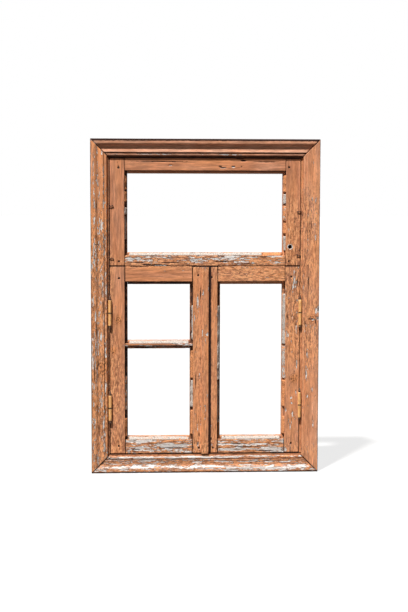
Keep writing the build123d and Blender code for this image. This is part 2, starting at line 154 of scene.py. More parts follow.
# Putty left in the rebates of each sash: side, from, to along it, how full, how painted
PUTTY = {
    "top_light": [
        ("left", 788, 866, .7, 0), ("left", 872, 898, .95, 0), ("left", 915, 952, .9, 1), ("left", 956, 1006, .8, 1),
        ("right", 748, 800, .85, 0), ("right", 806, 846, .95, 1), ("right", 849, 905, .9, .4),
        ("right", 908, 944, .95, 0), ("right", 948, 1008, .95, 1), ("bottom", -262, 196, 1, 0),
        ("bottom", 199, 262, .9, 1),
    ],
    "left_casement": [
        ("left", 196, 318, .8, .3), ("left", 104, 170, .8, .8), ("right", 205, 300, .9, 0), ("right", 440, 560, .4, 0),
        ("right", 110, 196, .95, 1), ("right", 306, 404, .95, 1), ("bottom", -264, -56, 1, .1),
        ("bar", -262, -56, 1, 0),
    ],
    "right_casement": [
        ("left", 150, 296, .5, 0), ("left", 300, 560, .9, 0), ("right", 110, 172, .95, 1), ("right", 205, 300, .9, .9),
        ("right", 304, 420, .95, .2), ("right", 424, 600, .95, 0), ("bottom", 58, 262, 1, 0),
    ],
}


class Wear:
    """How one timber has weathered: lost paint, crazing, worn arrises, warm colour, dirt and painted shade."""

    grime, fade, open_ends = 0.0, 0.25, 0.7
    # Dirt and painted shade in the nooks and how far it reaches, painted shadow on the glass ledge and painted shade
    # in the gap before the sash
    nook_dirt_and_shade, reach, ledge_shadow, gap_line = 0.95, 1.6, 0.0, 1.0
    # Dirt and painted shade along the outer edge, and its width
    rim_dirt_and_shade, rim_width = 0.0, 1.5
    bare_behind = False

    def __init__(self, loss, crazing, arris, warmth, **others):
        self.loss, self.crazing, self.arris, self.warmth = loss, crazing, arris, warmth
        vars(self).update(others)


# Casing boards: thickness of old paint in their hollows, the mitres at their ends, and their wear with its dirt and
# painted shade
CASING = {
    "left": (4.2, ("bottom_left", "top_left"),
             Wear(-0.02, 0.12, 1.0, 0.85, rim_dirt_and_shade=1.0, rim_width=1.2, fade=1.0, nook_dirt_and_shade=0.5)),
    "right": (4.6, ("top_right", "bottom_right"),
              Wear(-0.10, 0.25, 1.0, 0.3, rim_dirt_and_shade=0.8, rim_width=0.6, nook_dirt_and_shade=0.0, fade=0.6)),
    "bottom": (2.0, ("bottom_right", "bottom_left"),
               Wear(0.04, 0.7, 1.3, 0.4, rim_dirt_and_shade=1.2, rim_width=4.4, fade=0.6, nook_dirt_and_shade=0.6)),
    "top": (0.0, ("top_left", "top_right"), Wear(-0.20, 0.15, 0.8, 0.0, rim_dirt_and_shade=1.4, rim_width=6.6, fade=1.0)),
}
# Sashes: their stiles, how far the rails have shrunk at the top and the bottom, and their wear, with painted shadow on
# the glass ledges
SASHES = {
    "top_light": (("_stile_left", "_stile_right"), (0.3, 0.4), {
        "left": Wear(-0.24, 0.05, 0.7, 0.12, ledge_shadow=0.8),
        "right": Wear(-0.20, 0.1, 0.9, 0.2),
        "top": Wear(-0.24, 0.05, 0.9, 0.2),
        "bottom": Wear(-0.05, 0.6, 1.6, 0.5),
    }),
    "left_casement": (("_hinge_stile", "_meeting_stile"), (1.2, 1.3), {
        "left": Wear(-0.19, 0.1, 0.8, 0.2, ledge_shadow=1.0),
        "right": Wear(-0.12, 0.25, 1.0, 0.45, ledge_shadow=0.8),
        "top": Wear(-0.22, 0.1, 0.8, 0.45, ledge_shadow=1.0),
        "bottom": Wear(0.02, 0.5, 1.5, 0.5),
        "bar": Wear(0.02, 0.3, 1.3, 0.1),
    }),
    "right_casement": (("_meeting_stile", "_hinge_stile"), (0.5, 1.1), {
        # The dark rim along this stile is the painted shadow of the cover strip
        "left": Wear(-0.14, 0.25, 1.0, 0.4, rim_dirt_and_shade=1.3, rim_width=19.0, ledge_shadow=0.8),
        "right": Wear(-0.10, 0.35, 1.0, 0.45, fade=0.5),
        "top": Wear(-0.16, 0.3, 0.9, 0.65, fade=0.5),
        "bottom": Wear(0.03, 0.6, 1.4, 0.6),
    }),
}
# Box timbers: their nodes and how dark their narrow front is, with painted shade where the casing and the sashes shade
# it and some dirt
BOX = {"top": ("box_head", 0.7), "bottom": ("box_sill", 0.3), "left": ("box_jamb_left", 0.0),
       "right": ("box_jamb_right", 0.1)}


def length_property(name, text, millimetres):
    return FloatProperty(
        name=name, description=text, default=millimetres * MM, unit="LENGTH", subtype="DISTANCE"
    )


def colour_property(name, text, *colour):
    return FloatVectorProperty(
        name=name, description=text, default=(*colour, 1), size=4, min=0, max=1, subtype="COLOR"
    )


class WindowTimberSizes(bpy.types.PropertyGroup):
    """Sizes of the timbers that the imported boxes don't give, and of their wear."""

    rebate_width: length_property("Glass rebate width", "Across the ledge the glass lay on", 10)
    rebate_depth: length_property("Glass rebate depth", "From the sash face to the ledge", 14)
    box_face: length_property("Box face", "Width of a box timber in front of the sashes", 44)
    box_rebate: length_property("Box rebate", "Depth of the box in front of its stop", 38.5)
    bar_face: length_property("Bar face", "Width of the glazing bar's face", 9)
    arris: length_property("Arris", "Rounding of the long edges", 1.2)
    across_step: length_property("Mesh across", "Mesh spacing across the front faces", 1.15)
    run_step: length_property("Mesh along", "Mesh spacing along the grain", 3.5)
    paint_film: length_property("Paint film", "Thickness of all the coats of paint", 0.45)
    grain_relief: length_property("Grain relief", "How far soft grain has weathered back", 0.3)
    arris_wear: length_property("Arris wear", "How far the edges are worn and chipped", 1.1)


class WindowMouldingSizes(bpy.types.PropertyGroup):
    """The casing's moulding, from its outer edge in."""

    arris: length_property("Outer arris", "Rounding of the outer edge", 3)
    thickness: length_property("Thickness", "Thickness of the land", 19)
    land: length_property("Land", "Width of the flat outer part", 13)
    ogee: length_property("Ogee", "Width of the ogee", 16)
    slope: length_property("Slope", "Width of the gentle slope", 16.5)
    quirk: length_property("Quirk", "Width of the groove beside the bead", 1.5)
    bead: length_property("Bead", "Width of the bead", 10)
    ogee_floor: length_property("Ogee floor", "Thickness at the foot of the ogee", 8.5)
    slope_top: length_property("Slope top", "Thickness at the top of the slope", 12)
    quirk_floor: length_property("Quirk floor", "Thickness in the quirk", 5.5)
    bead_top: length_property("Bead top", "Thickness at the top of the bead", 9.2)
    inner_edge: length_property("Inner edge", "Thickness of the inner edge", 7)
    gap_top_left: length_property("Top left mitre", "Gap of the mitre", 0.9)
    gap_top_right: length_property("Top right mitre", "Gap of the mitre", 2.6)
    gap_bottom_left: length_property("Bottom left mitre", "Gap of the mitre", 1.0)
    gap_bottom_right: length_property("Bottom right mitre", "Gap of the mitre", 1.8)


class WindowFinish(bpy.types.PropertyGroup):
    """Colours of the paint, the timber under it and the ironwork, with the colours of painted shade and painted
    highlights.
    """

    paint: colour_property("Paint", "Top coat where it has kept", 0.53, 0.215, 0.108)
    faded: colour_property("Faded paint", "Top coat where the sun has bleached it", 0.68, 0.36, 0.235)
    orange: colour_property("Orange paint", "Top coat on the brighter boards", 0.74, 0.30, 0.12)
    ground: colour_property("Ground", "White coat under the paint", 0.89, 0.86, 0.84)
    # The crack colour is also the dark colour that painted shade and painted shadows are blended to
    crack: colour_property("Cracks", "Dirt in the cracks of the paint", 0.026, 0.008, 0.005)
    # The fleck colour is a painted highlight on the sunlit edges of crazed paint
    highlight_fleck: colour_property("Flecks", "Bright edges of crazed paint", 0.92, 0.44, 0.21)
    timber: colour_property("Bare timber", "Grey weathered softwood", 0.30, 0.225, 0.175)
    timber_dark: colour_property("Dark timber", "Hard grain of the softwood", 0.085, 0.045, 0.028)
    hinge: colour_property("Hinge paint", "Worn yellow paint of the hinges", 0.88, 0.47, 0.17)
    rust: colour_property("Rust", "Bare iron", 0.11, 0.045, 0.022)
    putty: colour_property("Putty", "Old chalky putty", 0.66, 0.60, 0.55)


class WindowHardware(bpy.types.PropertyGroup):
    """Sizes of the pegs, nails and hinges."""

    peg_radius: length_property("Peg radius", "Radius of the pegs", 3.4)
    peg_recess: length_property("Peg recess", "How far the pegs have shrunk back", 2.0)
    barrel_radius: length_property("Barrel radius", "Radius of the hinge knuckles", 5.75)
    barrel_length: length_property("Barrel length", "Both knuckles and their gap", 87)
    knuckle_gap: length_property("Knuckle gap", "Gap between the two knuckles", 1)
    leaf_thickness: length_property("Leaf thickness", "Thickness of the hinge leaves", 2)
    nail_radius: length_property("Nail radius", "Radius of the bent nails", 1.5)
    nail_reach: length_property("Nail reach", "How far the bent nails lie over the sash", 15)
    head_radius: length_property("Nail head", "Radius of the casing's nail heads", 3)
    seed: IntProperty(name="Seed", description="Starts every random draw", default=11, min=0)


class WindowStage(bpy.types.PropertyGroup):
    """Light, floor and camera."""

    key: FloatProperty(name="Key light", description="Strength of the sun-like lamp", default=6.1, min=0)
    key_angle: FloatProperty(
        name="Key size", description="How wide the lamp looks", default=math.radians(3.5), subtype="ANGLE"
    )
    fill: FloatProperty(name="Fill light", description="Strength of the light all round", default=0.12, min=0)
    camera_place: FloatVectorProperty(
        name="Camera place", description="Where the camera stands", default=(-0.2353, -4.5032, 0.9299),
        size=3, subtype="XYZ", unit="LENGTH",
    )
    camera_turn: FloatVectorProperty(
        name="Camera turn", description="Pitch, roll and heading of the camera",
        default=(math.radians(90 - 4.755), math.radians(-0.126), math.radians(-2.957)),
        size=3, subtype="EULER",
    )
    lens: FloatProperty(name="Lens", description="Focal length", default=76.47, unit="CAMERA")


GROUPS = {
    "window_timber": WindowTimberSizes, "window_moulding": WindowMouldingSizes, "window_finish": WindowFinish,
    "window_hardware": WindowHardware, "window_stage": WindowStage,
}


def settings(kind):
    return getattr(bpy.context.scene, "window_" + kind)


def lattice(cell, seed):
    """Repeatable numbers from 0 to 1 at whole-number places."""
    k = cell.astype(np.int64).astype(np.uint64)
    mixed = k[:, 0] * np.uint64(0x9E3779B97F4A7C15) ^ k[:, 1] * np.uint64(0xC2B2AE3D27D4EB4F)
    mixed ^= k[:, 2] * np.uint64(0x165667B19E3779F9) ^ np.uint64(seed * 0x27D4EB2F + 0x9E3779B9)
    mixed ^= mixed >> np.uint64(29)
    mixed *= np.uint64(0xBF58476D1CE4E5B9)
    mixed ^= mixed >> np.uint64(32)
    return (mixed & np.uint64(0xFFFFFF)) / float(0xFFFFFF)


def noise(places, seed, octaves=1):
    """Smooth layered noise from -1 to 1 at places measured in cells."""
    total, weight = 0.0, 0.0
    for octave in range(octaves):
        scaled = places * 2**octave + 17.3 * octave
        cell = np.floor(scaled)
        part = scaled - cell
        part = part * part * (3 - 2 * part)
        layer = 0.0
        for corner in itertools.product((0, 1), repeat=3):
            share = np.prod(np.where(corner, part, 1 - part), axis=1)
            layer = layer + share * lattice(cell + corner, seed + 31 * octave)
        total = total + (2 * layer - 1) * 0.5**octave
        weight += 0.5**octave
    return total / weight


def step(value, low, high):
    """Rises smoothly from 0 at low to 1 at high."""
    part = np.clip((value - low) / (high - low), 0, 1)
    return part * part * (3 - 2 * part)


def seed_for(name):
    return sum(ord(letter) * (place + 3) for place, letter in enumerate(name)) % 9973


class Edges:
    """The outer edges of a frame of timbers, seen from outdoors."""

    def __init__(self, *nodes):
        lows, highs = zip(*(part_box(node) for node in nodes))
        self.left, self.bottom = min(low.x for low in lows), min(low.z for low in lows)
        self.right, self.top = max(high.x for high in highs), max(high.z for high in highs)


class Seat:
    """Where a timber lies: across it, into its depth and along its run."""

    def __init__(self, side, edges, front):
        across = np.array(ACROSS[side], float)
        depth = np.array((0, 1, 0), float)
        x = edges.left if side in ("left", "top") else edges.right
        z = edges.bottom if side in ("left", "bottom") else edges.top
        self.lying = side in ("top", "bottom")
        self.origin = np.array((x, front, z))
        self.axes = np.stack((across, depth, np.cross(across, depth)))
        self.length = edges.right - edges.left if self.lying else edges.top - edges.bottom
        self.near_end, self.far_end, self.mitred = 0.0, self.length, False

    def to_world(self, local):
        return self.origin + local @ self.axes

    def to_local(self, world):
        return (world - self.origin) @ self.axes.T

    def run_at(self, coordinate):
        """How far along the run a height or a distance across the window lies."""
        axis = 0 if self.lying else 2
        return (coordinate - self.origin[axis]) * self.axes[2][axis]


def rounded_outline(corners):
    """Samples a closed outline of square corners: across, depth, radius, spacing to the next."""
    points = []
    places = [np.array(c[:2]) for c in corners]
    for i, (x, y, radius, spacing) in enumerate(corners):
        here, before, after = places[i], places[i - 1], places[(i + 1) % len(places)]
        arriving = (here - before) / np.linalg.norm(here - before)
        leaving = (after - here) / np.linalg.norm(after - here)
        centre = here - radius * arriving + radius * leaving
        turns = np.linspace(0, math.pi / 2, 4) if radius > 0 else [0.0]
        for turn in turns:
            points.append(centre + radius * (arriving * math.sin(turn) - leaving * math.cos(turn)))
        next_radius = corners[(i + 1) % len(corners)][2]
        end = after - next_radius * leaving
        count = max(1, round(np.linalg.norm(end - points[-1]) / spacing))
        for k in range(1, count):
            points.append(points[-1] + (end - points[-1]) / (count - k + 1))
    return np.array(points)


def rectangle(across, depth, arris, steps):
    """Corners of a rectangular section; arris and steps are for its front left corner and onwards."""
    (left, right), (front, back) = across, depth
    return [(*corner, *rest) for corner, rest in
            zip(((left, front), (right, front), (right, back), (left, back)), zip(arris, steps))]


def tube(rings, count):
    """Faces of a closed tube through rings of count points each."""
    ring = np.arange(count)
    after = np.roll(ring, -1)
    faces = [np.stack((low + ring, low + after, low + count + after, low + count + ring), 1)
             for low in range(0, (rings - 1) * count, count)]
    return [*np.concatenate(faces).tolist(), ring[::-1].tolist(), ((rings - 1) * count + ring).tolist()]


def loft(outline, starts, ends, spacing):
    """Vertices and faces of an outline run from starts to ends, closed at both."""
    count = len(outline)
    starts, ends = np.broadcast_to(starts, count), np.broadcast_to(ends, count)
    stations = max(2, math.ceil(float(np.max(ends - starts)) / spacing) + 1)
    vertices = np.empty((stations, count, 3))
    vertices[..., :2] = outline
    vertices[..., 2] = starts + (ends - starts) * np.linspace(0, 1, stations)[:, None]
    return vertices.reshape(-1, 3), tube(stations, count)


def mesh_object(name, vertices, faces):
    mesh = bpy.data.meshes.new(name)
    mesh.from_pydata(np.asarray(vertices).tolist(), [], faces)
    mesh.validate()
    made = bpy.data.objects.new(name, mesh)
    bpy.context.scene.collection.objects.link(made)
    return made


def joined_mesh(name, parts):
    """One object from several lists of vertices and faces, with its faces pointing outwards."""
    vertices, faces, count = [], [], 0
    for part_vertices, part_faces in parts:
        vertices.append(part_vertices)
        faces += [[index + count for index in face] for face in part_faces]
        count += len(part_vertices)
    made = mesh_object(name, np.concatenate(vertices), faces)
    point_outwards(made.data)
    return made


def point_outwards(mesh):
    work = bmesh.new()
    work.from_mesh(mesh)
    bmesh.ops.recalc_face_normals(work, faces=work.faces)
    work.to_mesh(mesh)
    work.free()


def apply_modifiers(made):
    """Turns an object's evaluated shape into its own plain mesh."""
    graph = bpy.context.evaluated_depsgraph_get()
    mesh = bpy.data.meshes.new_from_object(made.evaluated_get(graph))
    if not mesh.polygons:
        raise RuntimeError(f"{made.name} came out empty")
    made.modifiers.clear()
    old, made.data = made.data, mesh
    bpy.data.meshes.remove(old)
    mesh.name = made.name


def combine(made, others, operation):
    """Unites others with an object or cuts them from it. The others are used up."""
    for other in others:
        modifier = made.modifiers.new("Solid", "BOOLEAN")
        modifier.operation = operation
        modifier.solver = "MANIFOLD"
        modifier.object = other
    apply_modifiers(made)
    for other in others:
        bpy.data.meshes.remove(other.data)


def round_cutter(hole, depth, seed):
    """A slightly uneven cutter along the window's depth, as a worn hole leaves."""
    x, z, radius = (size * MM for size in hole)
    turns = np.linspace(0, 2 * math.pi, 18, endpoint=False)
    uneven = radius * (1 + 0.05 * np.random.default_rng(seed).standard_normal(len(turns)))
    rings = [
        np.stack((x + uneven * grow * np.cos(turns), FACE + level * MM + 0 * turns,
                  z + uneven * grow * np.sin(turns)), 1)
        for level, grow in ((-1.0, 1.25), (0.5, 1.04), (1.2, 0.98), (depth, 0.95))
    ]
    return joined_mesh("cutter", [(np.concatenate(rings), tube(len(rings), len(turns)))])


def vectors(values, field):
    """A mesh's vertex places or directions as rows of three."""
    flat = np.empty(len(values) * 3)
    values.foreach_get(field, flat)
    return flat.reshape(-1, 3)


def store(mesh, name, values):
    attribute = mesh.attributes.get(name) or mesh.attributes.new(name, "FLOAT", "POINT")
    attribute.data.foreach_set("value", np.asarray(values, np.float32))


def spots(table, x, z):
    """Adds up soft spots given as across, height, half width, half height and amount."""
    return sum(
        (amount * np.exp(-(((x - spot_x) / half_x) ** 2 + ((z - spot_z) / half_z) ** 2))
         for spot_x, spot_z, half_x, half_z, amount in table),
        np.zeros(len(x)),
    )


def weather(made, seat, arrises, nooks, wear, worn, seed):
    """Wears a timber's mesh and stores where its paint has gone, crazed and dirtied, and where shade is painted on it.
    """
    sizes = settings("timber")
    mesh = made.data
    world, outward = vectors(mesh.vertices, "co"), vectors(mesh.vertex_normals, "vector")
    local = seat.to_local(world) / MM
    across, deep, run = local.T
    x, z = world[:, 0] / MM, world[:, 2] / MM

    def layer(cell, shift, octaves=2):
        return noise(local / cell, seed + shift, octaves)

    def nearness(corners, reach):
        if not corners:
            return np.zeros(len(local))
        away = np.min([np.hypot(*(local[:, :2] - np.array(c) / MM).T) for c in corners], axis=0)
        return np.exp(-((away / reach) ** 2))

    edge = nearness(arrises, 2.2)
    front = step(-outward[:, 1], 0.0, 0.6)
    bites = layer((7.0, 7.0, 9.0), 13)
    loss = 0.36 + wear.loss + 0.26 * layer((5.0, 5.0, 42.0), 0, 3) + 0.26 * layer((1.9, 1.9, 9.0), 7)
    loss += 0.55 * np.minimum(spots(worn, x, z), 0.8) * front
    loss += edge * (0.03 + 0.10 * bites + 0.1 * wear.loss)
    if wear.bare_behind:
        loss = np.where(deep < 3.0, loss, 0.95)
    loss = np.clip(loss, 0, 1)
    gone = step(loss, 0.46, 0.54)
    grain = 0.5 + 0.5 * layer((1.7, 1.7, 70.0), 3)
    sunk = sizes.paint_film * gone * (0.7 + 0.6 * grain)
    sunk += sizes.grain_relief * grain * (0.25 + 0.75 * gone)
    sunk += sizes.arris_wear * edge * (0.15 + 1.2 * np.clip(bites, 0, 1)) * wear.arris * (0.6 + 0.8 * gone)
    sunk += 0.25 * MM * (0.5 + 0.5 * layer((60.0, 60.0, 170.0), 19))

    # The paint has flaked in a ring round the old hole, and chips bare the timber
    hole = np.hypot(x - OLD_HOLE[0], z - OLD_HOLE[1])
    flaked = step(hole, 5.5, 6.5) * (1 - step(hole + 2.5 * bites, 9.0, 11.5)) * front
    loss = np.maximum(loss, 0.62 * flaked)
    ragged = 0.35 * noise(local / 4.0, seed + 23, 2)
    dark, knotty = np.zeros(len(world)), np.zeros(len(world))
    for table, roughness, soft, bare, dirt_and_shade in ((CHIPS, 1.0, 0.45, 0.9, 0.0), (DENTS, 0.9, 0.5, 0.0, 1.0)):
        for spot_x, spot_z, half_x, half_z, depth in table:
            away = np.hypot((x - spot_x) / half_x, (z - spot_z) / half_z) + roughness * ragged
            bite = step(1 - away, 0.0, soft) * front
            sunk += depth * MM * bite
            loss = np.maximum(loss, bite * bare)
            # Dents darken with dirt and painted shade
            dark += dirt_and_shade * bite
    for knot_x, knot_z, size in KNOTS:
        reach = np.hypot((x - knot_x) / size, (z - knot_z) / (1.15 * size))
        turn = np.arctan2(z - knot_z, x - knot_x)
        near_knot = np.exp(-(reach**2)) * front
        knotty = np.maximum(knotty, near_knot)
        rings = step(np.sin(2 * math.pi * (2.1 * reach + ragged)), 0.35, 0.9)
        splits = step(np.cos(5 * turn + 3 * reach), 0.93, 1.0) * step(reach, 0.15, 0.4)
        lines = np.maximum(0.75 * rings, splits) * np.minimum(1.0, 1.7 * near_knot)
        sunk += 0.5 * MM * lines - 0.25 * MM * near_knot
        dark += 0.9 * lines
    world -= outward * sunk[:, None]
    mesh.vertices.foreach_set("co", world.ravel())

    # Dirt and painted shade gather in nooks, painted shadow lies on ledges, dirt on ends, dirt and painted shade along
    # the outer edge, painted shade in gaps and in the old hole, and dirt and painted shade in dents
    from_end = np.minimum(run - seat.near_end / MM, seat.far_end / MM - run) - (across if seat.mitred else 0.0)
    # Painted shade and dirt on the narrow front of the box timbers
    grime = wear.grime * (deep < 3.0) if wear.bare_behind else wear.grime
    if nooks and not seat.mitred:
        ledge_across, ledge_deep = np.array(nooks[0]) / MM
        # Painted shadow on the glass ledge, where the rebate's side shades it
        on_ledge = step(across, ledge_across - 0.6, ledge_across + 0.2) * (deep < ledge_deep + 1.5)
        grime = grime + wear.ledge_shadow * on_ledge * (0.8 + 0.6 * layer((6.0, 6.0, 12.0), 41))
        if wear.bare_behind:
            # Painted shade: a dark line in the gap before the sash
            in_gap = step(across, ledge_across - 2.0, ledge_across - 1.2) * (deep < 3.0)
            grime = grime + wear.gap_line * in_gap
    # Dirt and painted shade in the nooks
    grime = grime + wear.nook_dirt_and_shade * nearness(nooks, wear.reach)
    # Dark outer edge: dirt, and painted shade where the edge lies in shadow, such as the cover strip's shadow on the
    # right casement's meeting stile
    grime = grime + wear.rim_dirt_and_shade * (1 - step(across + 0.8 * bites, wear.rim_width, wear.rim_width + 1.2))
    # Painted shade inside the old hole
    grime = grime + (1 - step(hole, 5.8, 7.0)) * (deep > 1.0)
    grime = grime + wear.open_ends * (1 - step(np.abs(from_end), 0.6, 2.2)) + dark
    stored = {
        "paint_loss": loss,
        "crazing": wear.crazing + spots(CRAZED, x, z) - 1.2 * knotty,
        "grime": grime,
        "warmth": wear.warmth + 0.6 * layer((26.0, 26.0, 130.0), 29) + knotty,
        "fade": wear.fade + 0.4 * layer((18.0, 18.0, 90.0), 37),
    }
    for name, values in stored.items():
        store(mesh, name, np.clip(values, 0, 1))
    mesh.shade_smooth()
    mesh.update()


class Channel:
    """A value that changes over a surface, with the arithmetic of a number."""

    def __init__(self, maker, socket):
        self.maker, self.socket = maker, socket

    def __add__(self, other):
        return self.maker.math("ADD", self, other)

    def __sub__(self, other):
        return self.maker.math("SUBTRACT", self, other)

    def __rsub__(self, other):
        return self.maker.math("SUBTRACT", other, self)

    def __mul__(self, other):
        return self.maker.math("MULTIPLY", self, other)

    def rise(self, low, high, out_low=0.0, out_high=1.0):
        """Climbs smoothly from out_low to out_high as the value goes from low to high."""
        inputs = {0: self, 1: low, 2: high, 3: out_low, 4: out_high}
        return self.maker.channel("ShaderNodeMapRange", inputs, interpolation_type="SMOOTHSTEP")


class NodeMaker:
    """Short ways to add nodes to a shader or geometry tree."""

    def __init__(self, tree):
        self.tree = tree

    def put(self, socket, value):
        """Links a channel or a socket to another socket, or sets a plain value on it."""
        value = getattr(value, "socket", value)
        if isinstance(value, bpy.types.NodeSocket):
            self.tree.links.new(value, socket)
        else:
            socket.default_value = value

    def node(self, kind, inputs=None, **values):
        made = self.tree.nodes.new(kind)
        for key, value in values.items():
            setattr(made, key, value)
        for key, value in (inputs or {}).items():
            self.put(made.inputs[key], value)
        return made

    def channel(self, kind, inputs=None, output=0, **values):
        """Adds a node and gives one of its outputs."""
        return Channel(self, self.node(kind, inputs, **values).outputs[output])

    def group(self, tree, values):
        """Adds a shader group with its values and gives all its outputs."""
        made = self.node("ShaderNodeGroup", values, node_tree=tree)
        return {socket.name: Channel(self, socket) for socket in made.outputs}

    def math(self, operation, first, second):
        return self.channel("ShaderNodeMath", {0: first, 1: second}, operation=operation)

    def blend(self, amount, first, second, how="MIX"):
        inputs = {0: amount, 6: first, 7: second}
        return self.channel("ShaderNodeMix", inputs, 2, data_type="RGBA", blend_type=how)

    def vector_math(self, operation, first, second):
        return self.channel("ShaderNodeVectorMath", {0: first, 1: second}, operation=operation)

    def noise(self, vector, scale, detail=3.0, roughness=0.6, squash=1.0):
        """Noise, drawn out along the grain where squash is below 1."""
        if squash != 1.0:
            vector = self.vector_math("MULTIPLY", vector, (1, 1, squash))
        inputs = {"Vector": vector, "Scale": scale, "Detail": detail, "Roughness": roughness}
        return self.channel("ShaderNodeTexNoise", inputs)

    def borders(self, vector, scale):
        """How near the borders of irregular cells are."""
        inputs = {"Vector": vector, "Scale": scale}
        return self.channel("ShaderNodeTexVoronoi", inputs, "Distance", feature="DISTANCE_TO_EDGE")

    def attribute(self, name):
        return self.channel("ShaderNodeAttribute", None, "Fac", attribute_name=name)

    def place(self):
        return self.channel("ShaderNodeTexCoord", None, "Object")


def new_tree(name, kind, inputs, outputs):
    """A new node group: its maker, the channels given to it and the sockets it puts out."""
    tree = bpy.data.node_groups.new(name, kind)
    for way, sockets in (("INPUT", inputs), ("OUTPUT", outputs)):
        for label, socket in sockets.items():
            tree.interface.new_socket(label, in_out=way, socket_type="NodeSocket" + socket)
    maker = NodeMaker(tree)
    given = {socket.name: Channel(maker, socket) for socket in tree.nodes.new("NodeGroupInput").outputs}
    return maker, given, tree.nodes.new("NodeGroupOutput").inputs


def shader_group(name, inputs, outputs, build):
    """A shader group made once: build turns the given channels into the ones it puts out."""
    if name not in bpy.data.node_groups:
        maker, given, result = new_tree(name, "ShaderNodeTree", inputs, outputs)
        for label, channel in build(maker, given).items():
            maker.put(result[label], channel)
    return bpy.data.node_groups[name]


def timber_group():
    """Grey weathered softwood: soft and hard grain, checks and stains."""

    def build(maker, given):
        vector, hard_grain = given["Vector"], given["Hard grain"]
        lines = maker.noise(vector, 560, 4, 0.62, 0.045)
        bands = maker.noise(vector, 110, 3, 0.55, 0.045)
        stain = maker.noise(vector, 22, 3, 0.6, 0.3)
        check = maker.noise(vector, 300, 2, 0.5, 0.03).rise(0.66, 0.71)
        hard = (lines * 0.6 + bands * 0.4).rise(0.38, 0.64)
        colour = maker.blend(hard, given["Soft grain"], hard_grain)
        colour = maker.blend(stain.rise(0.3, 0.75, 0.0, 0.35), colour, hard_grain)
        colour = maker.blend(check, colour, (0.02, 0.012, 0.008, 1))
        return {"Color": colour, "Height": hard * 0.25 - check * 0.8}

    inputs = {"Vector": "Vector", "Soft grain": "Color", "Hard grain": "Color"}
    return shader_group("Weathered timber", inputs, {"Color": "Color", "Height": "Float"}, build)


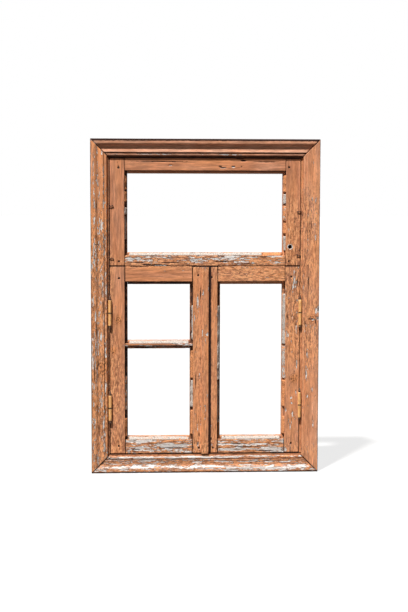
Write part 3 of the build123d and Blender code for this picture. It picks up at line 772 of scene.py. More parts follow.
def paint_group():
    """Old paint over a ground coat over timber or iron, with crazing, loss, dirt, painted shade and painted
    highlights.
    """

    def build(maker, given):
        vector, crazing, dark = given["Vector"], given["Crazing"], given["Crack"]
        lines = maker.noise(vector, 520, 4, 0.65, 0.05)
        fine = maker.noise(vector, 1300, 3, 0.7, 0.22)
        patch = maker.noise(vector, 34, 3, 0.6, 0.4)
        blotch = maker.noise(vector, 240, 3, 0.65, 0.22)
        streak = maker.noise(vector, 150, 3, 0.6, 0.10)

        # Where the paint has gone, the dark rim of what is left (dirt and the painted shadow of the paint's edge), and
        # where the ground coat went too
        ragged = (streak - 0.5) * 0.30 + ((fine - 0.5) * 0.30 + (lines - 0.5) * 0.34)
        edge = given["Loss"] + ragged * 1.15 + blotch.rise(0.60, 0.70) * (crazing * 0.26)
        gone = edge.rise(0.50, 0.53)
        rim_dirt_and_shade = edge.rise(0.42, 0.50) * (1.0 - gone)
        deep = (edge + (patch - 0.5) * 0.9).rise(0.52, 0.72) * (1.0 - given["Ground left"])
        deep = maker.math("MAXIMUM", deep, given["Loss"].rise(0.80, 0.90))

        stretched = maker.vector_math("MULTIPLY", vector, (1, 1, 0.32))
        crack = 1.0 - (maker.borders(stretched, 230.0) + (blotch - 0.5) * 0.9 * 0.12).rise(0.0, 0.10)
        crack = crack * (crazing * 0.9 + (patch - 0.5)).rise(0.25, 0.95)
        split = maker.noise(vector, 260, 2, 0.5, 0.035).rise(0.665, 0.70)
        crack = maker.math("MAXIMUM", crack, split * crazing.rise(0.0, 0.6, 0.25, 0.9))

        coat = maker.blend(patch.rise(0.30, 0.65, 0.4, 1.0) * given["Fade"], given["Paint"], given["Faded"])
        coat = maker.blend(given["Warmth"], coat, given["Warm"])
        shade = lines.rise(0.3, 0.7, 0.76, 1.18) * streak.rise(0.3, 0.7, 0.74, 1.2)
        shade = shade * blotch.rise(0.25, 0.75, 0.86, 1.10)
        grey = maker.channel("ShaderNodeCombineColor", {0: shade, 1: shade, 2: shade})
        coat = maker.blend(1.0, coat, grey, "MULTIPLY")
        coat = maker.blend(crack * 0.72, coat, dark)
        rough = crazing.rise(0.1, 0.9)
        # Painted highlights: sunlit flecks on the crazed paint
        highlight_flecks = maker.noise(vector, 215, 2, 0.6, 0.30).rise(0.46, 0.60)
        coat = maker.blend(highlight_flecks * (rough * 0.9), coat, given["Fleck"])
        dashes = maker.noise(vector, 262, 2, 0.6, 0.16).rise(0.56, 0.66)
        coat = maker.blend(dashes * (rough * 0.55), coat, dark)
        # Dark pits: dirt in small hollows and the painted shadow of curled paint
        pits = maker.noise(vector, 330, 2, 0.5, 0.45).rise(0.63, 0.69) * crazing.rise(0.15, 0.9, 0.0, 0.65)
        coat = maker.blend(pits, coat, dark)
        # Painted shadow and dirt along the rim of the paint that is left
        coat = maker.blend(rim_dirt_and_shade * 0.75, coat, dark)

        ground = maker.blend(lines.rise(0.50, 0.66, 0.0, 0.7), given["Ground"], given["Under"])
        colour = maker.blend(gone, coat, maker.blend(deep, ground, given["Under"]))
        # Dirt and painted shade, blended to the dark crack colour
        overlay = maker.math("MINIMUM", given["Grime"] * blotch.rise(0.3, 0.55, 0.95, 1.3), 1.0)
        height = (1.0 - gone) * 0.55 + lines * 0.22 - maker.math("MAXIMUM", crack, pits) * 0.45
        return {
            "Color": maker.blend(overlay, colour, dark),
            "Roughness": fine.rise(0.3, 0.7, 0.42, 0.62) + maker.math("MAXIMUM", gone, overlay) * 0.34,
            "Height": height + rim_dirt_and_shade * 0.18 + given["Under height"] * gone,
        }

    floats = ("Loss", "Crazing", "Grime", "Warmth", "Fade", "Ground left", "Under height")
    colours = ("Paint", "Faded", "Warm", "Ground", "Crack", "Fleck", "Under")
    inputs = {"Vector": "Vector", **dict.fromkeys(floats, "Float"), **dict.fromkeys(colours, "Color")}
    outputs = {"Color": "Color", "Roughness": "Float", "Height": "Float"}
    return shader_group("Flaking paint", inputs, outputs, build)


def surface(name, build):
    """A material made once: build gives its shader's values, and its height in units of 1 mm."""
    if name not in bpy.data.materials:
        made = bpy.data.materials.new(name)
        made.use_nodes = True
        maker = NodeMaker(made.node_tree)
        values = build(maker, settings("finish"))
        bump = {"Strength": 1.0, "Distance": MM, "Height": values.pop("Height")}
        values["Normal"] = maker.channel("ShaderNodeBump", bump)
        for socket, value in values.items():
            maker.put(made.node_tree.nodes["Principled BSDF"].inputs[socket], value)
    return bpy.data.materials[name]


def painted_timber(lying):
    """Flaking paint over timber whose grain lies along the board or stands."""

    def build(maker, finish):
        # The groups want the grain along Z, so a lying timber's coordinates are turned
        turn = (0, math.radians(-90), 0) if lying else (0, 0, 0)
        place = maker.channel("ShaderNodeMapping", {"Vector": maker.place(), "Rotation": turn})
        wood = maker.group(
            timber_group(), {"Vector": place, "Soft grain": finish.timber, "Hard grain": finish.timber_dark}
        )
        # The grime attribute carries dirt and painted shade, and the fleck colour paints highlights
        paint = maker.group(paint_group(), {
            "Vector": place, "Loss": maker.attribute("paint_loss"), "Crazing": maker.attribute("crazing"),
            "Grime": maker.attribute("grime"), "Warmth": maker.attribute("warmth"),
            "Fade": maker.attribute("fade"), "Paint": finish.paint, "Faded": finish.faded,
            "Warm": finish.orange, "Ground": finish.ground, "Crack": finish.crack, "Fleck": finish.highlight_fleck,
            "Under": wood["Color"], "Under height": wood["Height"], "Ground left": 0.68,
        })
        return {"Base Color": paint["Color"], "Roughness": paint["Roughness"], "Height": paint["Height"],
                "Specular IOR Level": 0.28}

    return surface("Painted timber lying" if lying else "Painted timber standing", build)


def end_grain(maker, finish):
    """The dark ends of the pegs: dark end grain, with the painted shade of their recess."""
    rings = maker.noise(maker.place(), 900, 4, 0.7)
    overlay = maker.noise(maker.place(), 260, 3, 0.6)
    colour = maker.blend(rings.rise(0.35, 0.7), finish.crack, finish.timber_dark)
    colour = maker.blend(overlay.rise(0.6, 0.72), colour, finish.paint)
    return {"Base Color": colour, "Roughness": 0.85, "Height": rings * 0.4}


def hinge_paint(maker, finish):
    """Worn yellow paint over rusty iron."""
    place = maker.place()
    scratch = maker.noise(place, 420, 4, 0.7, 0.25)
    rust = maker.blend(maker.noise(place, 700, 4, 0.7).rise(0.35, 0.65), finish.rust, (0.2, 0.085, 0.035, 1))
    # Grime here is dirt and painted shade, and the fleck colour a painted highlight
    paint = maker.group(paint_group(), {
        "Vector": maker.vector_math("MULTIPLY", place, (1.6, 1.6, 3.0)), "Loss": maker.attribute("paint_loss"),
        "Crazing": 0.25, "Grime": maker.attribute("grime"), "Warmth": scratch.rise(0.4, 0.8, 0.0, 0.5),
        "Paint": finish.hinge, "Faded": (0.86, 0.52, 0.20, 1), "Warm": finish.orange,
        "Ground": (0.72, 0.55, 0.36, 1), "Crack": finish.crack, "Under": rust, "Ground left": 0.05,
        "Fleck": (0.92, 0.62, 0.30, 1),
    })
    return {"Base Color": paint["Color"], "Roughness": paint["Roughness"] * 0.8, "Height": paint["Height"] * 0.5}


def rusty_iron(maker, finish):
    """Dark pitted rust."""
    pits = maker.noise(maker.place(), 1400, 4, 0.7)
    blotch = maker.noise(maker.place(), 300, 3, 0.6)
    colour = maker.blend(pits.rise(0.35, 0.7), finish.crack, finish.rust)
    colour = maker.blend(blotch.rise(0.5, 0.7), colour, finish.crack)
    return {"Base Color": colour, "Roughness": pits.rise(0.3, 0.7, 0.45, 0.8), "Height": pits * 0.3,
            "Metallic": pits.rise(0.4, 0.8, 0.5, 0.05)}


def old_putty(maker, finish):
    """Chalky putty with smears of paint, cracked across."""
    place = maker.place()
    crumb = maker.noise(place, 900, 4, 0.7)
    smear = maker.noise(place, 120, 4, 0.65) + maker.attribute("painted") * 0.5
    crack = 1.0 - maker.borders(place, 150.0).rise(0.0, 0.07)
    colour = maker.blend(crumb.rise(0.35, 0.7), finish.putty, (0.42, 0.37, 0.33, 1))
    colour = maker.blend(smear.rise(0.62, 0.70), colour, finish.orange)
    colour = maker.blend(crack * 0.8, colour, (0.05, 0.03, 0.02, 1))
    return {"Base Color": colour, "Roughness": 0.9, "Height": crumb * 0.5 - crack * 0.5}


def finish_piece(made, material, slot, *nodes):
    """Gives a piece its material and seats it on the frame in place of nodes."""
    made.data.materials.clear()
    made.data.materials.append(material)
    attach(made, "root")
    if nodes:
        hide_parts(*nodes)


def finish_timber(made, node, seat, arrises, nooks, wear, worn=(), slot="painted_wood"):
    """Weathers and paints a timber and seats it in place of its node."""
    weather(made, seat, arrises, nooks, wear, worn, seed_for(node))
    finish_piece(made, painted_timber(seat.lying), slot, node)


def rebated(face, width, rebate, thickness):
    """Arrises and nook of a rebated section."""
    return [(0, 0), (face, 0), (width, rebate), (width, thickness), (0, thickness)], [(face, rebate)]


def whole_timber(name, seat, face, width, rebate, thickness):
    """A rebated timber that runs its full length."""
    sizes = settings("timber")
    fine, arris = sizes.across_step, sizes.arris
    corners = [
        (0, 0, arris, fine), (face, 0, arris, 1.6 * fine), (face, rebate, 0, 1.6 * fine),
        (width, rebate, arris, 2.4 * fine), (width, thickness, arris, 3 * fine), (0, thickness, arris, 2.4 * fine),
    ]
    vertices, faces = loft(rounded_outline(corners), 0.0, seat.length, sizes.run_step)
    return mesh_object(name, seat.to_world(vertices), faces)


def shouldered_timber(name, seat, section, near, far, gap=0.0):
    """A timber between two others: long shoulders in front, short ones behind.

    section gives the face's low and high edge, the full width, the rebate and the thickness;
    near and far give the face and full widths of the timbers at its ends; gap is how far the
    front has shrunk from them.
    """
    sizes = settings("timber")
    fine, arris = sizes.across_step, sizes.arris
    face_low, face_high, width, rebate, thickness = section
    front = rectangle((face_low, face_high), (0, rebate + MM), (arris, arris, 0, 0),
                      (fine, 1.6 * fine, 4 * fine, 1.6 * fine))
    back = rectangle((0, width), (rebate, thickness), (arris,) * 4,
                     (1.6 * fine, 2.4 * fine, 3 * fine, 2.4 * fine))
    seat.near_end, seat.far_end = near[0] + gap, seat.length - far[0] - gap
    parts = []
    for corners, order, short in ((front, 0, gap), (back, 1, 0.0)):
        start, end = near[order] + short, seat.length - far[order] - short
        vertices, faces = loft(rounded_outline(corners), start, end, sizes.run_step)
        parts.append(mesh_object(name, seat.to_world(vertices), faces))
    combine(parts[0], parts[1:], "UNION")
    return parts[0]


def peg_places(node):
    """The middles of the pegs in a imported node, seen from outdoors."""
    found = []
    for x, y, z in (vertex.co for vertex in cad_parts[node].data.vertices):
        for group in found:
            if abs(group[0][0] - x) < 12 * MM and abs(group[0][1] - z) < 12 * MM:
                group.append((x, z))
                break
        else:
            found.append([(x, z)])
    return [tuple((np.min(group, axis=0) + np.max(group, axis=0)) / 2) for group in found]


class Sash:
    """One sash: its stiles and rails, their widths and its holes."""

    def __init__(self, prefix):
        stiles, self.shrunk, self.wears = SASHES[prefix]
        self.names = {
            "top": prefix + "_top_rail", "bottom": prefix + "_bottom_rail",
            "left": prefix + stiles[0], "right": prefix + stiles[1],
        }
        self.edges = Edges(*self.names.values())
        self.pegs = peg_places(prefix + "_pegs")

    def width(self, side):
        low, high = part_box(self.names[side])
        return high.x - low.x if side in ("left", "right") else high.z - low.z

    def face(self, side):
        return self.width(side) - settings("timber").rebate_width

    def cutters(self, name, thickness):
        """Cutters for a timber's peg holes, nail holes and the old hole."""
        low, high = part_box(name)
        seed, radius = seed_for(name), settings("hardware").peg_radius * 1.06 / MM
        holes = [((x / MM, z / MM, radius), thickness / MM + 1, number + seed)
                 for number, (x, z) in enumerate(self.pegs)]
        holes += [(hole, 6, seed) for hole in NAIL_HOLES]
        if name == "top_light_stile_right":
            holes.append((OLD_HOLE, 18, 5))
        return [round_cutter(hole, depth, draw) for hole, depth, draw in holes
                if low.x < hole[0] * MM < high.x and low.z < hole[1] * MM < high.z]

    def build(self):
        rebate, thickness = settings("timber").rebate_depth, SASH_BACK - FACE
        ends = {"top": ("left", "right"), "bottom": ("right", "left")}
        for side, name in self.names.items():
            seat = Seat(side, self.edges, FACE)
            face, width = self.face(side), self.width(side)
            if seat.lying:
                near, far = [(self.face(end), self.width(end)) for end in ends[side]]
                section = (0, face, width, rebate, thickness)
                gap = self.shrunk[side == "bottom"] * MM
                made = shouldered_timber(name + "_timber", seat, section, near, far, gap)
            else:
                made = whole_timber(name + "_timber", seat, face, width, rebate, thickness)
            cutters = self.cutters(name, thickness)
            if cutters:
                combine(made, cutters, "DIFFERENCE")
            arrises, nooks = rebated(face, width, rebate, thickness)
            finish_timber(made, name, seat, arrises, nooks, self.wears[side], WORN_SASHES)


def bar_seat(sash):
    """The seat of the glazing bar, and where the upper side of its face lies."""
    sizes = settings("timber")
    low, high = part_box("left_casement_glazing_bar")
    edges = Edges(*sash.names.values())
    edges.bottom = (low.z + high.z) / 2 - sizes.bar_face / 2 - sizes.rebate_width
    return Seat("bottom", edges, FACE), sizes.rebate_width + sizes.bar_face


def arc_height(radius, away):
    """How far a circle falls away from its tangent."""
    return radius - np.sqrt(radius**2 - away**2)


def tangent_radius(width, rise):
    """Radius of the arc that leaves a level line and climbs by rise over width."""
    return (width**2 + rise**2) / (2 * rise)


def moulding(filled=0.0):
    """The casing's section as across and depth, front first, with its arrises and nooks.

    filled is how thick old paint lies in the foot of the ogee.
    """
    m = settings("moulding")
    floor, top = m.ogee_floor + filled, m.slope_top + 0.4 * filled
    groove, bead_top, edge = m.quirk_floor + 1.2 * filled, m.bead_top + 0.7 * filled, m.inner_edge - 0.6 * filled
    fine = settings("timber").across_step
    ogee_end = m.land + m.ogee
    slope_end = ogee_end + m.slope
    bead_start = slope_end + m.quirk
    board = bead_start + m.bead

    def samples(low, high):
        return np.linspace(low, high, max(3, round((high - low) / fine)), endpoint=False)

    turns = np.linspace(0, math.pi / 2, 5)
    points = [(m.arris * (1 - math.cos(t)), m.thickness - m.arris * (1 - math.sin(t))) for t in turns]
    points += [(a, m.thickness) for a in samples(m.arris, m.land)[1:]]
    half = m.ogee / 2
    radius = tangent_radius(half, (m.thickness - floor) / 2)
    points += [(a, m.thickness - arc_height(radius, a - m.land)) for a in samples(m.land, m.land + half)]
    points += [(a, floor + arc_height(radius, ogee_end - a)) for a in samples(m.land + half, ogee_end)]
    radius = tangent_radius(m.slope, top - floor)
    points += [(a, floor + arc_height(radius, a - ogee_end)) for a in samples(ogee_end, slope_end)]
    points += [(slope_end, h) for h in np.linspace(top, groove, 5)]
    points += [(bead_start, groove)]
    middle = bead_start + m.bead / 2
    for a in samples(bead_start, board)[1:]:
        share = (a - middle) / (m.bead / 2)
        end = groove if a < middle else edge
        points.append((a, end + (bead_top - end) * math.sqrt(max(0.0, 1 - share**2)) ** 0.9))
    points += [(board, h) for h in np.linspace(edge, 0, 5)]
    points += [(a, 0) for a in np.linspace(board, 0, 12)[1:]]
    points += [(0, h) for h in np.linspace(0, m.thickness - m.arris, 8)[1:-1]]
    arrises = [(0.8 * MM, -m.thickness + 0.8 * MM), (slope_end, -top), (m.land, -m.thickness),
               (middle, -bead_top), (board, -edge)]
    return np.array([(a, -h) for a, h in points]), arrises, [((slope_end + bead_start) / 2, -groove)]


class WINDOW_OT_casing(bpy.types.Operator):
    """Builds the four moulded and mitred casing boards"""

    bl_idname = "window.casing"
    bl_label = "Casing boards"

    def execute(self, context):
        edges = Edges(*("casing_" + side for side in CASING))
        for side, (paint, mitres, wear) in CASING.items():
            outline, arrises, nooks = moulding(paint * MM)
            seat = Seat(side, edges, FACE)
            seat.mitred = True
            near, far = [getattr(settings("moulding"), "gap_" + mitre) / math.sqrt(2) for mitre in mitres]
            # The mitres gape in front, unevenly, and are tight behind
            opening = np.clip((-outline[:, 1] - 2 * MM) / (5 * MM), 0.03, 1)
            crooked = np.stack((outline[:, 0] / (9 * MM), 0 * outline[:, 0], 0 * outline[:, 0]), 1)
            opening *= 0.75 + 0.6 * noise(crooked, seed_for(side), 2)
            starts = outline[:, 0] + near * opening
            finishes = seat.length - outline[:, 0] - far * opening
            vertices, faces = loft(outline, starts, finishes, settings("timber").run_step)
            node = "casing_" + side
            made = mesh_object(node + "_board", seat.to_world(vertices), faces)
            finish_timber(made, node, seat, arrises, nooks, wear, WORN_CASING)
        return {"FINISHED"}


class WINDOW_OT_box(bpy.types.Operator):
    """Builds the bare timbers of the box that stands in the wall"""

    bl_idname = "window.box"
    bl_label = "Box timbers"

    def execute(self, context):
        sizes = settings("timber")
        edges = Edges("box_head", "box_sill")
        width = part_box("box_head")[1].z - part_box("box_head")[0].z
        face, rebate, thickness = sizes.box_face, sizes.box_rebate, BOX_BACK - FACE
        arrises, nooks = rebated(face, width, rebate, thickness)
        # Each box timber's narrow front gets painted shade and some dirt
        for side, (node, overlay) in BOX.items():
            wear = Wear(-0.2, 0.3, 1.0, 0.5, grime=overlay, bare_behind=True, open_ends=0.2,
                        gap_line=float(side != "right"))
            seat = Seat(side, edges, FACE)
            if seat.lying:
                made = whole_timber(node + "_timber", seat, face, width, rebate, thickness)
            else:
                section = (0, face, width, rebate, thickness)
                made = shouldered_timber(node + "_timber", seat, section, (face, width), (face, width))
            finish_timber(made, node, seat, arrises, nooks, wear, slot="bare_wood")
        self.transom(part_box("box_sill")[1].x - width)
        return {"FINISHED"}

    def transom(self, half_span):
        sizes = settings("timber")
        low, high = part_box("box_transom")
        seat = Seat("bottom", Edges("box_transom"), low.y)
        width, depth = high.z - low.z, high.y - low.y
        corners = rectangle((0, width), (0, depth), (sizes.arris,) * 4, (2 * MM, 3 * MM, 3 * MM, 3 * MM))
        near = high.x - half_span
        vertices, faces = loft(rounded_outline(corners), near, seat.length - near, sizes.run_step)
        made = mesh_object("box_transom_timber", seat.to_world(vertices), faces)
        arrises = [(0, 0), (0, depth), (width, 0), (width, depth)]
        wear = Wear(-0.2, 0.3, 1.0, 0.2, bare_behind=True)
        finish_timber(made, "box_transom", seat, arrises, [], wear, slot="bare_wood")


class WINDOW_OT_top_light(bpy.types.Operator):
    """Builds the fixed sash above the casements"""

    bl_idname = "window.top_light"
    bl_label = "Top light"

    def execute(self, context):
        Sash("top_light").build()
        return {"FINISHED"}


class WINDOW_OT_left_casement(bpy.types.Operator):
    """Builds the left side-hung sash with its glazing bar"""

    bl_idname = "window.left_casement"
    bl_label = "Left casement"

    def execute(self, context):
        sash = Sash("left_casement")
        sash.build()
        self.glazing_bar(sash)
        return {"FINISHED"}

    def glazing_bar(self, sash):
        sizes = settings("timber")
        name = "left_casement_glazing_bar"
        width, rebate, thickness = sizes.bar_face + 2 * sizes.rebate_width, sizes.rebate_depth, SASH_BACK - FACE
        face = (sizes.rebate_width, sizes.rebate_width + sizes.bar_face)
        near, far = [(sash.face(end), sash.width(end)) for end in ("right", "left")]
        seat = bar_seat(sash)[0]
        made = shouldered_timber(name + "_timber", seat, (*face, width, rebate, thickness), near, far)
        nooks = [(edge, rebate) for edge in face]
        arrises = [(face[0], 0), (face[1], 0), (0, rebate), (width, rebate), (0, thickness), (width, thickness)]
        finish_timber(made, name, seat, arrises, nooks, sash.wears["bar"], WORN_SASHES)


class WINDOW_OT_right_casement(bpy.types.Operator):
    """Builds the right side-hung sash"""

    bl_idname = "window.right_casement"
    bl_label = "Right casement"

    def execute(self, context):
        Sash("right_casement").build()
        return {"FINISHED"}


class WINDOW_OT_astragal(bpy.types.Operator):
    """Builds the cover strip over the casements' meeting"""

    bl_idname = "window.astragal"
    bl_label = "Cover strip"

    def execute(self, context):
        low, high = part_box("astragal")
        seat = Seat("left", Edges("astragal"), low.y)
        width, rounding, fine = high.x - low.x, 2.5 * MM, settings("timber").across_step
        corners = rectangle((0, width), (0, high.y - low.y), (rounding, rounding, 0, 0),
                            (fine, fine, 3 * fine, fine))
        vertices, faces = loft(rounded_outline(corners), 0.0, seat.length, settings("timber").run_step)
        made = mesh_object("astragal_strip", seat.to_world(vertices), faces)
        arrises = [(0.7 * MM, 0.7 * MM), (width - 0.7 * MM, 0.7 * MM)]
        finish_timber(made, "astragal", seat, arrises, [], Wear(-0.10, 0.2, 0.8, 0.55), WORN_SASHES)
        return {"FINISHED"}


def geometry_tree(name, inputs, build):
    """A geometry tree over points: build makes the real solids, and the tree gives them a material."""
    sockets = {"Points": "Geometry", **inputs, "Material": "Material"}
    maker, given, result = new_tree(name, "GeometryNodeTree", sockets, {"Mesh": "Geometry"})
    solids = {"Geometry": build(maker, given), "Material": given["Material"]}
    maker.put(result["Mesh"], maker.channel("GeometryNodeSetMaterial", solids))
    return maker.tree


def realized(maker, given, solid, **inputs):
    """A solid placed at every point and made real."""
    placed = {"Points": given["Points"], "Instance": solid, **inputs}
    instances = maker.channel("GeometryNodeInstanceOnPoints", placed)
    return maker.channel("GeometryNodeRealizeInstances", {"Geometry": instances})


def placed_by_tree(name, tree, points, values, turns=None):
    """Runs a geometry tree over points and keeps its result as a plain mesh."""
    made = mesh_object(name, points, [])
    if turns is not None:
        attribute = made.data.attributes.new("turn", "FLOAT_VECTOR", "POINT")
        attribute.data.foreach_set("vector", np.asarray(turns, float).ravel())
    modifier = made.modifiers.new("Tree", "NODES")
    modifier.node_group = tree
    for item in tree.interface.items_tree:
        if item.in_out == "INPUT" and item.name in values:
            modifier[item.identifier] = values[item.name]
    apply_modifiers(made)
    return made


def peg_tree():
    """Uneven pegs along the window's depth, one at each point."""

    def build(maker, given):
        bar = maker.channel("GeometryNodeMeshCylinder", {
            "Vertices": 14, "Side Segments": 6, "Fill Segments": 3, "Radius": given["Radius"],
            "Depth": given["Length"],
        }, "Mesh")
        lying = maker.channel("GeometryNodeTransform", {"Geometry": bar, "Rotation": (math.pi / 2, 0, 0)})
        spin = maker.channel("FunctionNodeRandomValue", {"Seed": given["Seed"]}, 1, data_type="FLOAT") * 6.28
        real = realized(maker, given, lying, Rotation=maker.channel("ShaderNodeCombineXYZ", {"Y": spin}))
        rough = maker.channel("ShaderNodeTexNoise", {"Scale": 420.0, "Detail": 2.0}, "Color")
        centred = maker.vector_math("SUBTRACT", rough, (0.5, 0.5, 0.5))
        offset = maker.vector_math("MULTIPLY", centred, (0.0004, 0.0016, 0.0004))
        return maker.channel("GeometryNodeSetPosition", {"Geometry": real, "Offset": offset})

    return geometry_tree("Pegs", {"Radius": "Float", "Length": "Float", "Seed": "Int"}, build)


def bent_nail_tree():
    """Nails driven beside a sash and bent over its face, turned as each point says."""

    def build(maker, given):
        radius, rise = given["Radius"], given["Rise"] * -1.0
        low = maker.channel("ShaderNodeCombineXYZ", {"Y": 0.004})
        knee = maker.channel("ShaderNodeCombineXYZ", {"X": 0.0006, "Y": rise * 1.5})
        tip = maker.channel("ShaderNodeCombineXYZ", {"X": given["Reach"], "Y": rise * 0.62})
        curve = {"Resolution": 14, "Start": low, "Middle": knee, "End": tip}
        shank = maker.channel("GeometryNodeCurveToMesh", {
            "Curve": maker.channel("GeometryNodeCurveQuadraticBezier", curve),
            "Profile Curve": maker.channel("GeometryNodeCurvePrimitiveCircle", {"Resolution": 12, "Radius": radius}),
            "Fill Caps": True,
        })
        head = maker.channel("GeometryNodeMeshCylinder", {
            "Vertices": 14, "Side Segments": 2, "Fill Segments": 2, "Radius": radius * 2.1, "Depth": radius * 0.9,
        }, "Mesh")
        seated = {"Geometry": head, "Translation": tip, "Rotation": (0.0, 1.35, 0.0)}
        nail = maker.node("GeometryNodeJoinGeometry")
        maker.put(nail.inputs[0], shank)
        maker.put(nail.inputs[0], maker.channel("GeometryNodeTransform", seated))
        turn = maker.channel("GeometryNodeInputNamedAttribute", {"Name": "turn"}, data_type="FLOAT_VECTOR")
        return realized(maker, given, nail.outputs[0], Rotation=turn)

    return geometry_tree("Bent nails", {"Radius": "Float", "Reach": "Float", "Rise": "Float"}, build)


def nail_head_tree():
    """Low domes of painted-over nail heads, one at each point."""

    def build(maker, given):
        ball = {"Segments": 14, "Rings": 8, "Radius": given["Radius"]}
        ball = maker.channel("GeometryNodeMeshUVSphere", ball, "Mesh")
        flat = maker.channel("GeometryNodeTransform", {"Geometry": ball, "Scale": (1.0, 0.35, 1.0)})
        sizes = {2: 0.8, 3: 1.1, "Seed": given["Seed"]}
        size = maker.channel("FunctionNodeRandomValue", sizes, 1, data_type="FLOAT")
        return realized(maker, given, flat, Scale=size)

    return geometry_tree("Nail heads", {"Radius": "Float", "Seed": "Int"}, build)


class WINDOW_OT_pegs(bpy.types.Operator):
    """Builds the pegs through the corners of the three sashes"""

    bl_idname = "window.pegs"
    bl_label = "Pegs"

    def execute(self, context):
        hardware, material, tree = settings("hardware"), surface("Peg end grain", end_grain), peg_tree()
        length = SASH_BACK - FACE - hardware.peg_recess - 0.8 * MM
        middle = FACE + hardware.peg_recess + length / 2
        values = {"Radius": hardware.peg_radius, "Length": length, "Seed": hardware.seed, "Material": material}
        for prefix in SASHES:
            points = [(x, middle, z) for x, z in peg_places(prefix + "_pegs")]
            made = placed_by_tree(prefix + "_pegs_ends", tree, points, values)
            finish_piece(made, material, "peg_wood", prefix + "_pegs")
        return {"FINISHED"}


class WINDOW_OT_nails(bpy.types.Operator):
    """Builds the bent nails that hold the top light and the casing's nail heads"""

    bl_idname = "window.nails"
    bl_label = "Nails"

    def execute(self, context):
        hardware = settings("hardware")
        iron, paint = surface("Rusty iron", rusty_iron), painted_timber(False)
        points = [(x * MM, FACE, z * MM) for x, z, turn in BENT_NAILS]
        turns = [(0.0, turn, 0.0) for x, z, turn in BENT_NAILS]
        values = {"Radius": hardware.nail_radius, "Reach": hardware.nail_reach, "Rise": 4.2 * MM, "Material": iron}
        finish_piece(placed_by_tree("bent_nails", bent_nail_tree(), points, values, turns), iron, "hinge_steel")
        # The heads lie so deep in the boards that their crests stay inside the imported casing
        middle = FACE - settings("moulding").thickness + 1.25 * MM
        points = [(x * MM, middle, z * MM) for x, z in NAIL_HEADS]
        values = {"Radius": hardware.head_radius, "Seed": hardware.seed, "Material": paint}
        finish_piece(placed_by_tree("casing_nail_heads", nail_head_tree(), points, values), paint, "painted_wood")
        return {"FINISHED"}


def smoothed(profile, rounds=2):
    """Cuts the corners of an open line of points, keeping its ends."""
    for turn in range(rounds):
        cut = [profile[0]]
        for first, second in zip(profile[:-1], profile[1:]):
            cut += [0.75 * first + 0.25 * second, 0.25 * first + 0.75 * second]
        profile = np.array([*cut, profile[-1]])
    return profile


def lathe(profile, centre, segments=28):
    """A turned solid about a vertical axis; the profile is radius and height, ends on the axis."""
    rings = profile[1:-1]
    turns = np.linspace(0, 2 * math.pi, segments, endpoint=False)
    vertices = [(0, 0, profile[0][1])]
    vertices += [(radius * math.cos(t), radius * math.sin(t), height) for radius, height in rings for t in turns]
    vertices += [(0, 0, profile[-1][1])]
    last = 1 + (len(rings) - 1) * segments
    faces = []
    for i, j in zip(range(segments), [*range(1, segments), 0]):
        faces.append([0, 1 + j, 1 + i])
        for low in range(1, last, segments):
            faces.append([low + i, low + j, low + segments + j, low + segments + i])
        faces.append([last + i, last + j, len(vertices) - 1])
    return np.array(vertices) + centre, faces


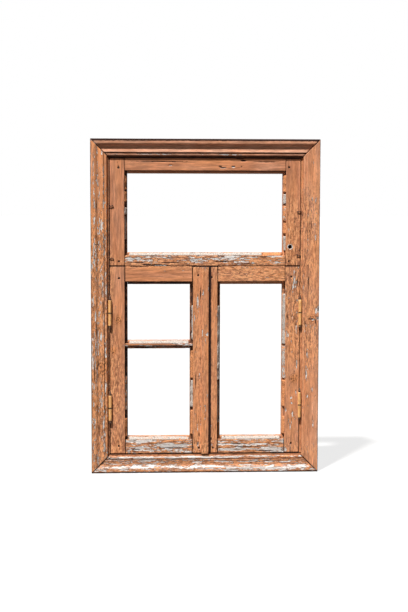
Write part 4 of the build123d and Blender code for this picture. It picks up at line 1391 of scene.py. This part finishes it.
class WINDOW_OT_hinges(bpy.types.Operator):
    """Builds both halves of the four lift-off hinges"""

    bl_idname = "window.hinges"
    bl_label = "Hinges"

    upper_finial = 17 * MM
    half_leaf = 40 * MM
    leaf_reach = 26 * MM

    def execute(self, context):
        for place in ("upper_left", "upper_right", "lower_left", "lower_right"):
            for half in ("sleeve", "pin"):
                self.half_hinge("hinge_" + place, half)
        return {"FINISHED"}

    def knob(self, radius, base, finial):
        """The turned finial at the end of a knuckle, as radius and height."""
        return smoothed(np.array([
            (radius - 0.4 * MM, base), (5.1 * MM, base + 0.4 * MM), (3.0 * MM, base + 1.6 * MM),
            (2.9 * MM, base + 2.6 * MM), (4.5 * MM, base + 3.9 * MM), (4.7 * MM, base + 5.4 * MM),
            (3.7 * MM, base + 0.62 * finial), (2.5 * MM, base + 0.88 * finial), (1.2 * MM, base + 0.98 * finial),
            (0, base + finial),
        ]))

    def half_hinge(self, hinge, half):
        hardware = settings("hardware")
        node = f"{hinge}_{half}_half"
        low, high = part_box(node)
        sleeve_low, sleeve_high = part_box(hinge + "_sleeve_half")
        radius, start = hardware.barrel_radius, hardware.knuckle_gap / 2
        knuckle = (hardware.barrel_length - hardware.knuckle_gap) / 2
        x, y, base = (sleeve_low.x + sleeve_high.x) / 2, low.y + radius, start + knuckle
        if half == "sleeve":
            upward, finial = 1, self.upper_finial
            centre = high.z - (finial + knuckle + start)
        else:
            upward = -1
            centre = sleeve_high.z - self.upper_finial - knuckle - start
            finial = centre - start - knuckle - low.z
        barrel = [(0, start), (radius - 0.6 * MM, start), (radius, start + 0.6 * MM)]
        barrel += [(radius, start + share * knuckle) for share in np.linspace(0.05, 0.97, 14)]
        barrel += [(radius - 0.4 * MM, base)]
        profile = np.concatenate((np.array(barrel), self.knob(radius, base, finial)[1:]))
        profile[:, 1] *= upward
        vertices, faces = lathe(profile, (x, y, centre))
        parts = [(vertices, [face[::upward] for face in faces])]
        # The sleeve half's leaf lies on the sash's side of the pin, the pin half's on the jamb's
        leaf_side = -upward if x > 0 else upward
        leaf_x = sorted(x + leaf_side * away for away in (0.75 * MM, 0.75 * MM + hardware.leaf_thickness))
        leaf = rectangle(leaf_x, (y + radius + 0.8 * MM, FACE + self.leaf_reach), (0.4 * MM,) * 4,
                         (1 * MM, 3 * MM, 1 * MM, 3 * MM))
        parts.append(loft(rounded_outline(leaf), centre - self.half_leaf, centre + self.half_leaf, 5 * MM))
        web = rectangle(leaf_x, (y + radius - 1.6 * MM, y + radius + 1.2 * MM), (0.3 * MM,) * 4, (1 * MM,) * 4)
        ends = sorted((centre + upward * start, centre + upward * self.half_leaf))
        parts.append(loft(rounded_outline(web), *ends, 3 * MM))
        made = joined_mesh(node + "_iron", parts)
        mesh, seed = made.data, seed_for(node)
        places = vectors(mesh.vertices, "co")
        lumps = noise(places / (4 * MM, 4 * MM, 9 * MM), seed, 3)
        places -= vectors(mesh.vertex_normals, "vector") * (0.18 * MM * (1 + lumps))[:, None]
        mesh.vertices.foreach_set("co", places.ravel())
        height = (places[:, 2] - centre) * upward
        beyond = step(height, base - 0.5 * MM, base + 2.5 * MM)
        scraped = noise(places / (3 * MM, 3 * MM, 7 * MM), seed + 5, 3)
        loss = 0.30 + 0.30 * scraped + 0.45 * beyond + 0.25 * np.exp(-((height - start) / (1.5 * MM)) ** 2)
        store(mesh, "paint_loss", np.clip(loss, 0, 1))
        # Painted shade behind the barrel, on the leaves in the gap and between the knuckles, and darker finials
        behind = step(places[:, 1], y + 0.2 * radius, y + 1.2 * radius)
        between = np.exp(-((height - start) / (1.4 * MM)) ** 4)
        store(mesh, "grime", np.clip(0.85 * behind + 0.5 * beyond + between, 0, 1))
        mesh.shade_smooth()
        finish_piece(made, surface("Hinge paint", hinge_paint), "hinge_steel", node)


class WINDOW_OT_putty(bpy.types.Operator):
    """Builds what is left of the putty in the glass rebates"""

    bl_idname = "window.putty"
    bl_label = "Putty"

    def execute(self, context):
        number = itertools.count()
        for prefix, runs in PUTTY.items():
            sash = Sash(prefix)
            parts, painted = [], []
            for side, low, high, full, paint in runs:
                seat, face = bar_seat(sash) if side == "bar" else (Seat(side, sash.edges, FACE), sash.face(side))
                parts.append(self.run(seat, face, low * MM, high * MM, full, next(number)))
                painted.append(np.full(len(parts[-1][0]), float(paint)))
            made = joined_mesh(prefix + "_putty", parts)
            store(made.data, "painted", np.concatenate(painted))
            made.data.shade_smooth()
            finish_piece(made, surface("Old putty", old_putty), "painted_wood")
        return {"FINISHED"}

    def run(self, seat, face, low, high, full, seed):
        """One broken run of putty in the corner between the rebate's side and its ledge."""
        sizes = settings("timber")
        start, end = sorted((seat.run_at(low), seat.run_at(high)))
        stations = max(6, round((end - start) / (2.2 * MM)))
        along = np.linspace(start, end, stations)
        cells = np.stack((along / (16 * MM), 0 * along + seed, 0 * along), 1)
        lumps, wobbles = noise(cells, seed + 40, 3), noise(cells * 2.3, seed + 60, 2)
        taper = np.minimum(1, np.minimum(along - start, end - along) / (2.5 * MM) + 0.25)
        size = np.clip(full * (0.95 + (0.55 - 0.3 * full) * lumps), 0.15, 1.0) * taper
        side, corner = face - 0.3 * MM, sizes.rebate_depth - 0.6 * MM
        vertices = []
        for position, share, wobble in zip(along, size, wobbles):
            rise = (sizes.rebate_depth - 1.6 * MM) * share
            out = (sizes.rebate_width - 0.4 * MM) * share
            ring = [
                (side, corner), (side, corner - rise),
                (face + 0.25 * out, corner - 0.86 * rise + 0.6 * MM * wobble),
                (face + 0.62 * out, corner - 0.52 * rise - 0.5 * MM * wobble),
                (face + out, corner - 0.12 * rise), (face + out, corner),
            ]
            vertices += [(across, depth, position) for across, depth in ring]
        return seat.to_world(np.array(vertices)), tube(stations, len(ring))


class WINDOW_OT_stage(bpy.types.Operator):
    """Sets the floor, the light and the camera"""

    bl_idname = "window.stage"
    bl_label = "Floor, light and camera"

    def execute(self, context):
        stage, scene = settings("stage"), context.scene
        scene.view_settings.view_transform = "Standard"
        floor_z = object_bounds()[0].z - 0.2 * MM
        corners = [(-40, -12, floor_z), (40, -12, floor_z), (40, 60, floor_z), (-40, 60, floor_z)]
        floor = mesh_object("floor", corners, [[0, 1, 2, 3]])
        floor.data.materials.append(self.floor_material())
        floor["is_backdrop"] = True
        lamp = bpy.data.lights.new("key", "SUN")
        lamp.energy = stage.key
        lamp.angle = stage.key_angle
        lamp.color = (1.0, 0.975, 0.94)
        sun = bpy.data.objects.new("key", lamp)
        sun.rotation_mode = "QUATERNION"
        sun.rotation_quaternion = Vector((-0.24, -0.43, 0.87)).to_track_quat("Z", "Y")
        scene.collection.objects.link(sun)
        self.world(scene, stage)
        eye = bpy.data.cameras.new("camera")
        eye.lens = stage.lens
        eye.clip_end = 200
        camera = bpy.data.objects.new("camera", eye)
        camera.location = stage.camera_place
        camera.rotation_euler = Euler(stage.camera_turn, "XYZ")
        scene.collection.objects.link(camera)
        scene.camera = camera
        return {"FINISHED"}

    def seen_directly(self, maker):
        """1 where the camera, a reflection or a view through glass looks, and 0 for bounced light."""
        path = maker.node("ShaderNodeLightPath").outputs
        shiny = maker.math("MAXIMUM", path["Is Glossy Ray"], path["Is Transmission Ray"])
        return maker.math("MAXIMUM", path["Is Camera Ray"], shiny)

    def floor_material(self):
        made = bpy.data.materials.new("Pale floor")
        made.use_nodes = True
        maker = NodeMaker(made.node_tree)
        shader = made.node_tree.nodes["Principled BSDF"]
        seen = self.seen_directly(maker)
        maker.put(shader.inputs["Base Color"], maker.blend(seen, (0.07, 0.06, 0.055, 1), (0.82, 0.82, 0.82, 1)))
        shader.inputs["Roughness"].default_value = 0.9
        shader.inputs["Specular IOR Level"].default_value = 0.1
        white = maker.channel("ShaderNodeEmission", {"Color": (1, 1, 1, 1), "Strength": 1.0})
        mixed = maker.channel("ShaderNodeMixShader", {0: seen * 0.8, 1: shader.outputs[0], 2: white})
        maker.put(made.node_tree.nodes["Material Output"].inputs["Surface"], mixed)
        return made

    def world(self, scene, stage):
        world = bpy.data.worlds.new("studio")
        scene.world = world
        world.use_nodes = True
        maker = NodeMaker(world.node_tree)
        background = world.node_tree.nodes["Background"].inputs
        seen = self.seen_directly(maker)
        maker.put(background["Color"], maker.blend(seen, (1.0, 0.86, 0.78, 1), (1, 1, 1, 1)))
        maker.put(background["Strength"], seen.rise(0.0, 1.0, stage.fill, 1.0))


OPERATORS = (
    WINDOW_OT_box, WINDOW_OT_casing, WINDOW_OT_top_light, WINDOW_OT_left_casement, WINDOW_OT_right_casement,
    WINDOW_OT_astragal, WINDOW_OT_pegs, WINDOW_OT_nails, WINDOW_OT_hinges, WINDOW_OT_putty, WINDOW_OT_stage,
)


class WINDOW_PT_panel(bpy.types.Panel):
    """Lists the pieces of the window in the sidebar"""

    bl_idname = "WINDOW_PT_panel"
    bl_label = "Old window frame"
    bl_space_type = "VIEW_3D"
    bl_region_type = "UI"
    bl_category = "Window"

    def draw(self, context):
        for operator in OPERATORS:
            self.layout.operator(operator.bl_idname)
        for name, group in GROUPS.items():
            box = self.layout.box()
            for size in group.__annotations__:
                box.prop(getattr(context.scene, name), size)


def register():
    for name, group in GROUPS.items():
        bpy.utils.register_class(group)
        setattr(bpy.types.Scene, name, PointerProperty(type=group))
    for kind in (*OPERATORS, WINDOW_PT_panel):
        bpy.utils.register_class(kind)


def unregister():
    for kind in (WINDOW_PT_panel, *reversed(OPERATORS)):
        bpy.utils.unregister_class(kind)
    for name, group in reversed(GROUPS.items()):
        delattr(bpy.types.Scene, name)
        bpy.utils.unregister_class(group)


def main():
    register()
    for operator in OPERATORS:
        family, call = operator.bl_idname.split(".")
        getattr(getattr(bpy.ops, family), call)()


if __name__ == "__main__":
    main()
